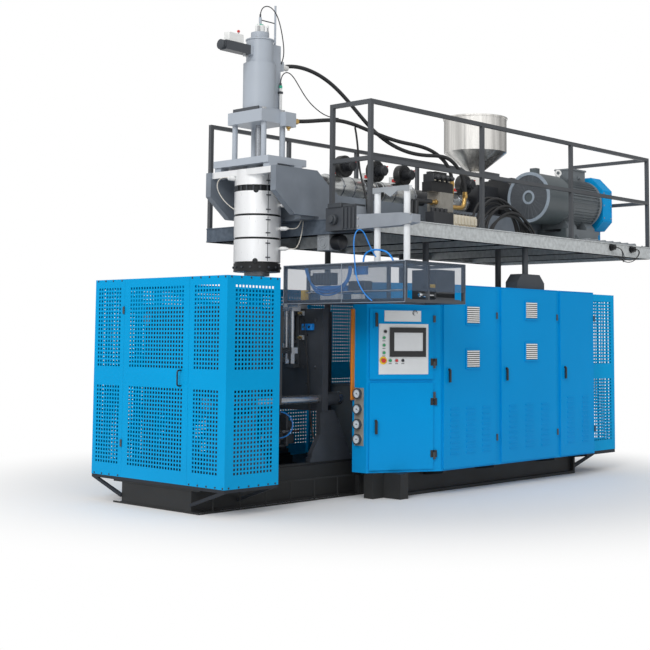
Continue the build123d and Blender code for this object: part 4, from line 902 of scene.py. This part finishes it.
def valve_manifold():
    """Valves on the manifold, brass elbows and nuts of the hoses, valve row on the deck."""
    dark, brass, pale = pieces(3)
    for k in range(4):
        x = 1965 + k * 82
        dark.box(x - 30, x + 30, -752, -600, 3332, 3420, 6)
        dark.turned((x, -752, 3376), NEAR, [(0, 27), (54, 27), (58, 22), (74, 12)], 20)
        dark.box(x - 18, x + 18, -700, -640, 3420, 3446)
        pale.box(x - 14, x + 14, -756, -752, 3340, 3352)
    for y, z in ((-690, 3080), (-620, 3160)):
        brass.turned((2290, y, z), RIGHT, [(0, 34), (30, 34), (32, 28), (58, 28)], 6)
    for place in ((2580, -690, 3200), (2430, -620, 3330)):
        brass.turned(place, UP, [(0, 33), (40, 33), (42, 28), (70, 28)], 6)
    for y, radius, bend in (
            (-690, 25, ((2335, 3080), (2450, 3080), (2545, 3100), (2580, 3205))),
            (-620, 24, ((2335, 3160), (2380, 3165), (2424, 3215), (2430, 3335)))):
        brass.hose([(x, y, z) for x, z in bend], radius, 16)
    for y in (-700, -640):
        brass.turned((2052, y, 3110), LEFT, [(0, 30), (26, 30), (28, 22), (96, 22)], 6)
        dark.rod((1958, y, 3110), (1700, y - 4, 3096), 24, 16)
        dark.rod((1704, y - 4, 3098), (1690, y - 4, 2802), 24, 16)
    dark.box(1640, 1975, -1000, -880, 2801, 2960)
    pale.box(1985, 2385, -1000, -890, 2801, 2950)
    for k in range(7):
        x = 2012 + k * 58
        pale.box(x - 20, x + 20, -1016, -1000, 2850, 2930)
        brass.turned((x, -1000, 2826), NEAR, [(0, 11), (20, 11)], 6)
        dark.turned((x, -950, 2950), UP, [(-1, 14), (22, 14), (26, 8)], 12)
    for k in range(4):
        x = 1690 + k * 74
        dark.turned((x, -940, 2958), UP, [(0, 24), (46, 24), (52, 16)], 16)
    dark.finish("valve_dark_parts", GEAR_DARK, 1.5)
    brass.finish("valve_brass_parts", BRASS, 1.0)
    pale.finish("valve_pale_parts", CREAM, 1.5)


# platform

RAIL_POSTS = (394, 2225, 3998, 5806)
GLANDS, GLAND_HEIGHT = (4850, 5330), 2745
FAN_HEIGHT = 2565


def platform_details():
    """Flange edges of the outer channel, rail feet, cable tray, glands, fan under the deck."""
    low, high = span("platform")
    flanges = Piece()
    near = low.y
    for z0, z1 in ((PLATFORM_LOW, PLATFORM_LOW + 12), (PLATFORM_TOP - 12, PLATFORM_TOP)):
        flanges.box(low.x, high.x, near - 7, near + 0.5, z0, z1)
        flanges.box(low.x - 7, low.x + 0.5, near - 7, high.y, z0, z1)
    flanges.finish("platform_flanges", PLATFORM_PAINT, 1.0)
    feet = Piece()
    for x in RAIL_POSTS:
        left = min(x - 60, high.x - 125)
        feet.box(left, left + 120, -1222, -1150, PLATFORM_TOP, PLATFORM_TOP + 9)
        for dx in (18, 102):
            feet.turned((left + dx, -1166, PLATFORM_TOP + 9), UP, [(-1, 11), (9, 11)], 6)
    feet.finish("rail_feet", DARK_GREY, slot="rail_grey")
    tray = Piece()
    tray.box(4440, 5640, -1130, -1060, PLATFORM_TOP, PLATFORM_TOP + 34)
    for x in range(4500, 5640, 180):
        tray.box(x, x + 30, -1136, -1054, PLATFORM_TOP + 30, PLATFORM_TOP + 42)
    tray.finish("deck_tray", MID_GREY, 1.0)
    glands = Piece()
    for x in GLANDS:
        glands.turned((x, near - 6, GLAND_HEIGHT), NEAR,
                      [(0, 46), (10, 46), (12, 36), (34, 40), (38, 30), (60, 34), (64, 22)], 12)
    glands.finish("cable_glands", BLACK_PLASTIC)
    fan, motor = pieces(2)
    fan.box(392, 560, -640, -470, 2486, PLATFORM_LOW, 8)
    for outer in (66, 40):
        fan.ring((386, -555, FAN_HEIGHT), RIGHT, 8, outer, outer - 8, 32)
    fan.finish("deck_fan", MID_GREY, 1.5)
    motor.turned((476, -640, FAN_HEIGHT), NEAR,
                 [(0, 70), (12, 73), (120, 73), (128, 62), (140, 30)], 28)
    for k in range(8):
        motor.ring((476, -656 - 12 * k, FAN_HEIGHT), NEAR, 4, 77, 72, 28)
    motor.finish("deck_fan_motor", GEAR_DARK)


# take-out unit

def take_out_details():
    """Rods, cylinders, valve blocks and gussets of the product take-out."""
    silver, yellow, pale, dark = pieces(4)
    silver.rod((165, -500, 2047), (165, -1850, 2047), 11, 16)
    silver.turned((380, -1838, 2012), RIGHT, [(0, 14), (10, 22), (200, 22), (210, 16)], 24)
    yellow.box(140, 190, -560, -500, 1972, 2072)
    yellow.box(520, 700, -1850, -1826, 2084, 2116)
    pale.box(150, 215, -1010, -760, 1972, 2030)
    pale.box(150, 215, -1300, -1180, 1972, 2020)
    for k in range(5):
        pale.turned((150, -800 - k * 42, 2002), LEFT, [(0, 9), (10, 9)], 10)
    dark.box(590, 900, -1860, -1816, 1990, 2034)
    dark.box(400, 520, -1850, -1800, 2050, 2110)
    dark.box(160, 260, -900, -640, 2120, 2240, 6)
    dark.rod((210, -640, 2180), (210, -560, 2180), 40, 20)
    for k in range(6):
        dark.box(156, 164, -880 + k * 40, -868 + k * 40, 2126, 2234)
    dark.box(190, 300, -1320, -1100, 2060, 2150, 5)
    edges = Piece()
    for y in (-1889, -274):
        for z in (1938, 2318):
            edges.box(118.5, 124, y, y + 6, z, z + 5)
    for z in (1936, 2319):
        edges.box(118, 121.5, -1888, -272, z, z + 5)
    for y in (-1889, -1080, -277):
        edges.box(118, 121.5, y, y + 5, 1936, 2324)
    edges.finish("sheet_edges", PALE_EDGE, body="take_out")
    blue = Piece()
    blue.box(168, 250, -1090, -700, 2034, 2110, 4)
    blue.box(180, 230, -1330, -1180, 2210, 2290, 4)
    blue.finish("take_out_valves", HOSE_BLUE, 2.0, body="take_out")
    outline = [(-1345, 3050), (-1800, 3050), (-1800, 2992), (-1660, 3004), (-1572, 2950),
               (-1484, 3004), (-1345, 2992)]
    gusset = Piece()
    gusset.prism([(264, y, z) for y, z in outline], (10, 0, 0))
    gusset.finish("column_gusset", MID_GREY, 1.0, body="take_out", slot="arm_dark")
    silver.finish("take_out_rods", CHROME, body="take_out")
    yellow.finish("take_out_yellow", YELLOW, 1.5, body="take_out")
    pale.finish("take_out_blocks", WHITE_PLASTIC, 1.5, body="take_out")
    dark.finish("take_out_dark", DARK_GREY, 1.5, body="take_out")
    arm, bolts = pieces(2)
    arm.box(232, 378, -1150, -980, 2890, 2912)
    arm.box(226, 384, -960, -770, 2890, 2934, 8)
    for y in (-1140, -1090, -1040, -990):
        arm.box(226, 240, y, y + 22, 2672, 2880)
    arm.turned((232, -860, 2770), LEFT, [(0, 52), (30, 52), (34, 40), (60, 38), (64, 20)], 24)
    for y in (-1180, -1850):
        for z in (2690, 2770):
            bolts.turned((240, y, z), LEFT, [(-1, 11), (9, 11)], 6)
    arm.finish("arm_block_parts", DARK_GREY, 2.0)
    bolts.finish("arm_bolts", ZINC)


# clamp

PORT_Y, PORT_HEIGHTS = -232, (1850, 1600)


def clamp_details():
    """Cylinders, blocks and fittings on the right platen, which move with it."""
    dark, pale, blue, metal, brass = pieces(5)
    face = 440.0
    dark.box(face - 14, face, -190, 40, 1290, 1890)
    dark.box(face - 92, face, -196, -150, 1290, 1330)
    for y in (-6, -128):
        dark.turned((face - 52, y, 1560), UP, [(0, 30), (270, 30)], 24)
        dark.box(face - 90, face - 14, y - 38, y + 38, 1830, 1868)
        dark.box(face - 90, face - 14, y - 38, y + 38, 1540, 1572)
        metal.rod((face - 52, y, 1392), (face - 52, y, 1542), 12, 16)
        dark.box(face - 86, face - 14, y - 34, y + 34, 1350, 1394)
    for z in reversed(PORT_HEIGHTS):
        pale.box(face - 26, face, -262, -200, z - 24, z + 24, 4)
        brass.turned((face - 26, PORT_Y, z), LEFT, [(-1, 17), (14, 17), (16, 13), (36, 13)], 6)
    pale.box(face - 40, face + 60, -235, -120, 1896, 1958)
    pale.box(face - 40, face + 60, -95, 15, 1896, 1958)
    for y in (-400, -318):
        blue.box(face - 38, face, y, y + 64, 1676, 1742)
        metal.turned((face - 38, y + 32, 1709), LEFT, [(-1, 14), (8, 14)], 16)
    for y in (-420, -250, 200, 420):
        for z in (960, 1300, 1780):
            dark.turned((face, y, z), LEFT, [(-1, 16), (10, 16), (12, 12)], 6)
    dark.finish("platen_dark_parts", DARK_GREY, 1.5, body="clamp_right")
    pale.finish("platen_pale_blocks", MID_GREY, 1.5, body="clamp_right")
    blue.finish("platen_blue_blocks", HOSE_BLUE, 2.0, body="clamp_right")
    metal.finish("platen_rods", CHROME, body="clamp_right")
    brass.finish("platen_fittings", BRASS, body="clamp_right")


def stand_details():
    """Bracket, cylinder and valve plate on the side of the blow stand."""
    dark, metal = pieces(2)
    dark.box(168, 300, -150, -60, 560, 640, 6)
    dark.box(258, 292, -200, -20, 500, 830, 8)
    dark.box(292, 392, -176, -44, 520, 610, 8)
    dark.turned((292, -110, 700), RIGHT, [(0, 58), (60, 58), (64, 44), (96, 44)], 28)
    for y in (-172, -48):
        for z in (532, 798):
            dark.turned((258, y, z), LEFT, [(-1, 14), (10, 14)], 6)
    metal.rod((150, -230, 652), (400, -230, 652), 12, 16)
    metal.box(168, 200, -240, -190, 640, 664)
    metal.turned((388, -110, 700), RIGHT, [(-1, 18), (24, 18)], 16)
    for x in (-90, 90):
        for z in (800, 600):
            metal.turned((x, -199, z), NEAR, [(-2, 15), (10, 15)], 6)
    dark.finish("stand_castings", DARK_GREY, 2.0, body="frame", slot="stand_grey")
    metal.finish("stand_rods", BAR_STEEL, body="frame")


def base_details():
    """Flange strips and stiffeners of the beam frame under the clamp."""
    low, high = span("clamp_base")
    strips = Piece()
    for z0, z1 in ((0, 16), (204, 220)):
        strips.box(low.x, high.x, low.y - 9, low.y + 1, z0, z1)
        strips.box(low.x - 9, low.x + 1, low.y - 9, high.y + 9, z0, z1)
    for x in range(-1100, 900, 330):
        strips.box(x, x + 14, low.y - 8, low.y + 1, 14, 206)
    strips.finish("base_flanges", BLACK_PAINT, 1.5, body="frame")


# hoses and cables

def cable(name, points, radius, material=RUBBER, body="platform"):
    """A cable between two fittings: one smooth curve."""
    line = bpy.data.curves.new(name, "CURVE")
    line.dimensions = "3D"
    line.resolution_u = 10
    route = line.splines.new("NURBS")
    route.points.add(len(points) - 1)
    for knot, point in zip(route.points, points):
        knot.co = (*(Vector(point) * MM), 1.0)
    route.order_u = 4
    route.use_endpoint_u = True
    piece = bpy.data.objects.new(name, line)
    bpy.context.scene.collection.objects.link(piece)
    centre = bpy.data.meshes.new_from_object(piece)
    line.bevel_depth = radius * MM
    line.bevel_resolution = 3
    line.materials.append(material)
    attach(piece, body)


def head_leads():
    """Braided leads of the heater bands, the sensor cable and the two cables on the hose."""
    for i, z in enumerate(PLUG_HEIGHTS):
        start = around(PLUG_SIDE, HEAD_RADIUS + 97, z)
        cable(f"heater_lead_{i + 1}",
              [around(PLUG_SIDE, HEAD_RADIUS + 2, z), start, start + Vector((30, -40, -6)),
               start + Vector((86, -50, 10)),
               (270 + 16 * i, -330 - 14 * i, (z + 2790) / 2 + 40), (345 + 10 * i, -300, 2836),
               (400 + 14 * i, -240, 2802)], 5, BRAID)
    start = around(REAR_PLUG_SIDE, HEAD_RADIUS + 76, REAR_PLUG_HEIGHT + 7)
    cable("heater_lead_4",
          [around(REAR_PLUG_SIDE, HEAD_RADIUS + 2, REAR_PLUG_HEIGHT), start,
           start + Vector((-60, 34, 8)), start + Vector((-110, 60, -70)),
           start + Vector((-70, 44, -190)), start + Vector((6, 4, -280)),
           around(REAR_PLUG_SIDE, HEAD_RADIUS + 6, 2900)], 5, BRAID)
    cable("sensor_cable",
          [(*TRAVEL_SENSOR, 4246), (220, -91, 4310), (250, -116, 4374), (312, -160, 4350),
           (376, -204, 4220), (456, -246, 4080), (580, -280, 3980), (720, -300, 3926),
           (860, -318, 3934)], 5.5)
    cable("servo_cable",
          [(0, 0, 4920), (0, 0, 4974), (14, -20, 5036), (70, -74, 5040), (124, -118, 4960),
           (160, -140, 4830), (184, -150, 4700), (214, -140, 4590), (244, -100, 4510),
           (258, -60, 4470), (262, -40, 4450)], 5.5)
    cable("blower_lead",
          [(1100, -338, 3868), (1120, -344, 3780), (1140, -352, 3600), (1150, -360, 3400),
           (1162, -420, 3200), (1170, -470, 3000), (1172, -480, 2802)], 11)


def power_cables():
    """Thick cables that rise from the deck in front of the gearbox and dip back into it."""
    for i in range(8):
        dx, dy, drop = 44 * i, -22 * i, 26 * i + 46 * math.sin(2.3 * i)
        cable(f"power_cable_{i + 1}",
              [(2560 + dx * 0.6, -800 + dy, 2802), (2556 + dx * 0.6, -802 + dy, 2940 - drop * 0.55),
               (2640 + dx * 0.6, -806 + dy, 3120 - drop), (2830 + dx * 0.7, -812 + dy, 3236 - drop),
               (3060 + dx * 0.7, -818 + dy, 3214 - drop), (3250 + dx * 0.6, -826 + dy, 3110 - drop),
               (3370 + dx * 0.5, -834 + dy, 2960 - drop * 0.5), (3392 + dx * 0.5, -840 + dy, 2802)],
              15)


def edge_cables():
    """Loops of cable that hang from the glands at the platform's edge."""
    for i, (x, way) in enumerate(zip(GLANDS, (1, -1))):
        for k in range(2):
            cable(f"gland_cable_{i + 1}_{k + 1}",
                  [(x, -1230, GLAND_HEIGHT), (x, -1296, GLAND_HEIGHT), (x + 8 * way, -1350, 2738),
                   (x + (30 + 20 * k) * way, -1376, 2690 - 10 * k),
                   (x + (64 + 40 * k) * way, -1356, 2630 - 30 * k),
                   (x + (110 + 60 * k) * way, -1304, 2596 - 34 * k),
                   (x + (170 + 76 * k) * way, -1258, 2600 - 20 * k),
                   (x + (196 + 80 * k) * way, -1206, PLATFORM_LOW - 2)], 5.5)


def take_out_hoses():
    """Blue air hoses of the take-out unit, in front of and above its clear sheets."""
    cable("air_hose_1",
          [(270, -1390, 2380), (256, -1378, 2402), (238, -1365, 2440), (222, -1350, 2490),
           (204, -1332, 2546), (176, -1316, 2620), (130, -1302, 2650), (84, -1294, 2622),
           (62, -1288, 2546), (66, -1285, 2450),
           (98, -1276, 2300), (96, -1290, 2180), (94, -1360, 2060), (96, -1440, 1984),
           (118, -1480, 1952)], 6, HOSE_BLUE, "take_out")
    cable("air_hose_2",
          [(140, -1345, 2326), (134, -1352, 2396), (130, -1430, 2440), (130, -1560, 2438),
           (132, -1680, 2410), (140, -1722, 2326)], 9, HOSE_BLUE, "take_out")
    for i in range(3):
        cable(f"air_hose_{3 + i}",
              [(138, -560 - 14 * i, 2292), (158, -570 - 14 * i, 2200), (152, -650, 2096 - 24 * i),
               (148, -860, 2062 - 30 * i), (148, -1060, 2090 - 22 * i),
               (156, -1150 - 14 * i, 2190), (138, -1160 - 14 * i, 2292)],
              8, HOSE_BLUE, "take_out")


def clamp_hoses():
    """Hoses that move with the right platen, and the one on the side of the blow stand."""
    for i, z in enumerate(PORT_HEIGHTS):
        cable(f"platen_hose_{i + 1}",
              [(438, PORT_Y, z), (392, PORT_Y, z), (372, PORT_Y - 30, z + 4),
               (366, PORT_Y - 80, z - 30),
               (372, -340 - 24 * i, z - 170), (386, -352 - 20 * i, z - 360),
               (404, -352 - 22 * i, 1000), (414, -364 - 20 * i, 820), (420, -396 - 10 * i, 640),
               (426, -438, 560)], 4.8, body="clamp_right")
    cable("stand_hose",
          [(166, -188, 846), (205, -200, 850), (262, -250, 806), (288, -264, 730),
           (272, -260, 650), (222, -236, 596), (166, -188, 584)], 7, HOSE_BLUE, "frame")


# light, floor and camera

LIGHT_SIDE = (-0.75, -0.34, 0.56)
KEY_SIDE = (-0.82, -0.34, 0.52)
FLOOR_REACH = 60.0
FLOOR_TONE = (0.86, 0.86, 0.86, 1)
# The floor turns white between these distances from the machine's middle, in metres.
FLOOR_MIDDLE = (2.0, 0.0, 0.0)
FADE_START, FADE_END = 2.6, 5.6


def world_light():
    """White surroundings with soft light that is stronger from the left."""
    world = bpy.data.worlds.new("studio")
    bpy.context.scene.world = world
    world.use_nodes = True
    tree = world.node_tree
    back = tree.nodes["Background"]
    back.inputs["Color"].default_value = (1, 1, 1, 1)
    side = shader_node(tree, "VectorMath", {1: Vector(LIGHT_SIDE).normalized()},
                       operation="DOT_PRODUCT")
    node_link(tree, coordinates(tree), "Generated", side, 0)
    soft = remap(tree, side, "Value", 0.14, 1.0, -1.0, 1.0)
    shine = remap(tree, side, "Value", 0.25, 1.05, -0.7, 0.7)
    ray = shader_node(tree, "LightPath")
    seen = shader_node(tree, "Math", operation="MAXIMUM")
    node_link(tree, ray, "Is Camera Ray", seen, 0)
    node_link(tree, ray, "Is Transmission Ray", seen, 1)
    gloss = shader_node(tree, "Mix")
    node_link(tree, ray, "Is Glossy Ray", gloss, SHARE)
    node_link(tree, soft, "Result", gloss, FIRST_NUMBER)
    node_link(tree, shine, "Result", gloss, SECOND_NUMBER)
    level = shader_node(tree, "Mix", {SECOND_NUMBER: 1.0})
    node_link(tree, seen, "Value", level, SHARE)
    node_link(tree, gloss, MIXED_NUMBER, level, FIRST_NUMBER)
    node_link(tree, level, MIXED_NUMBER, back, "Strength")


def floor():
    """Pale floor that fades to white away from the machine."""
    mesh = bpy.data.meshes.new("studio_floor")
    reach = FLOOR_REACH
    mesh.from_pydata([(-reach, -reach, 0), (reach, -reach, 0), (reach, reach, 0),
                      (-reach, reach, 0)], [], [(0, 1, 2, 3)])
    plane = bpy.data.objects.new("studio_floor", mesh)
    plane.location.z = -0.001
    bpy.context.scene.collection.objects.link(plane)
    material = bpy.data.materials.new("studio_floor")
    material.use_nodes = True
    tree = material.node_tree
    shader = tree.nodes["Principled BSDF"]
    shader.inputs["Base Color"].default_value = FLOOR_TONE
    shader.inputs["Roughness"].default_value = 0.7
    white = shader_node(tree, "Emission")
    away = shader_node(tree, "VectorMath", {1: FLOOR_MIDDLE}, operation="DISTANCE")
    fade = shader_node(tree, "MapRange", {"From Min": FADE_START, "From Max": FADE_END},
                       interpolation_type="SMOOTHSTEP")
    ray = shader_node(tree, "LightPath")
    share = shader_node(tree, "Math", operation="MULTIPLY")
    mix = shader_node(tree, "MixShader")
    node_link(tree, coordinates(tree), "Object", away, 0)
    node_link(tree, away, "Value", fade, "Value")
    node_link(tree, fade, "Result", share, 0)
    node_link(tree, ray, "Is Camera Ray", share, 1)
    node_link(tree, share, "Value", mix, "Fac")
    node_link(tree, shader, "BSDF", mix, 1)
    node_link(tree, white, "Emission", mix, 2)
    node_link(tree, mix, "Shader", tree.nodes["Material Output"], "Surface")
    mesh.materials.append(material)


def key_light():
    """Soft sun from the left, high and near."""
    sun = bpy.data.lights.new("key", "SUN")
    sun.energy = 1.1
    sun.angle = math.radians(25)
    key = bpy.data.objects.new("key", sun)
    key.rotation_euler = Vector(KEY_SIDE).to_track_quat("Z", "Y").to_euler()
    bpy.context.scene.collection.objects.link(key)


# Frame, focal length and centre of view in pixels, eye in metres, and turn off the machine's
# length, pitch and roll in degrees.
FRAME_PX = 650.0
FOCAL_PX = 1252.1
CENTRE_PX = (355.685, 231.593)
EYE = (-8.743, -9.401, 1.600)
VIEW_ANGLES = (42.5704, 4.8537, 0.4151)
SENSOR_WIDTH = 36.0


def camera():
    """Camera at the eye height of a standing person, looking up a little."""
    turn, pitch, roll = (math.radians(v) for v in VIEW_ANGLES)
    forward = Vector((math.cos(pitch) * math.cos(turn), math.cos(pitch) * math.sin(turn),
                      math.sin(pitch)))
    level = Vector((math.sin(turn), -math.cos(turn), 0))
    steep = level.cross(forward)
    right = level * math.cos(roll) + steep * math.sin(roll)
    up = steep * math.cos(roll) - level * math.sin(roll)
    lens = bpy.data.cameras.new("photo")
    lens.sensor_width = SENSOR_WIDTH
    lens.lens = FOCAL_PX / FRAME_PX * SENSOR_WIDTH
    lens.shift_x = (FRAME_PX / 2 - CENTRE_PX[0]) / FRAME_PX
    lens.shift_y = (CENTRE_PX[1] - FRAME_PX / 2) / FRAME_PX
    view = bpy.data.objects.new("photo", lens)
    view.matrix_world = axes_at(EYE, right, up, -forward)
    bpy.context.scene.collection.objects.link(view)
    bpy.context.scene.camera = view
    bpy.context.scene.view_settings.view_transform = "Standard"


camera()
head_leads()
power_cables()
edge_cables()
take_out_hoses()
clamp_hoses()
dress_frame()
cage()
operator_panel()
gauges()
cabinet_grilles()
head_details()
cylinder_details()
motor_details()
cover_details()
extruder()
valve_manifold()
platform_details()
take_out_details()
clamp_details()
stand_details()
base_details()
world_light()
floor()
key_light()
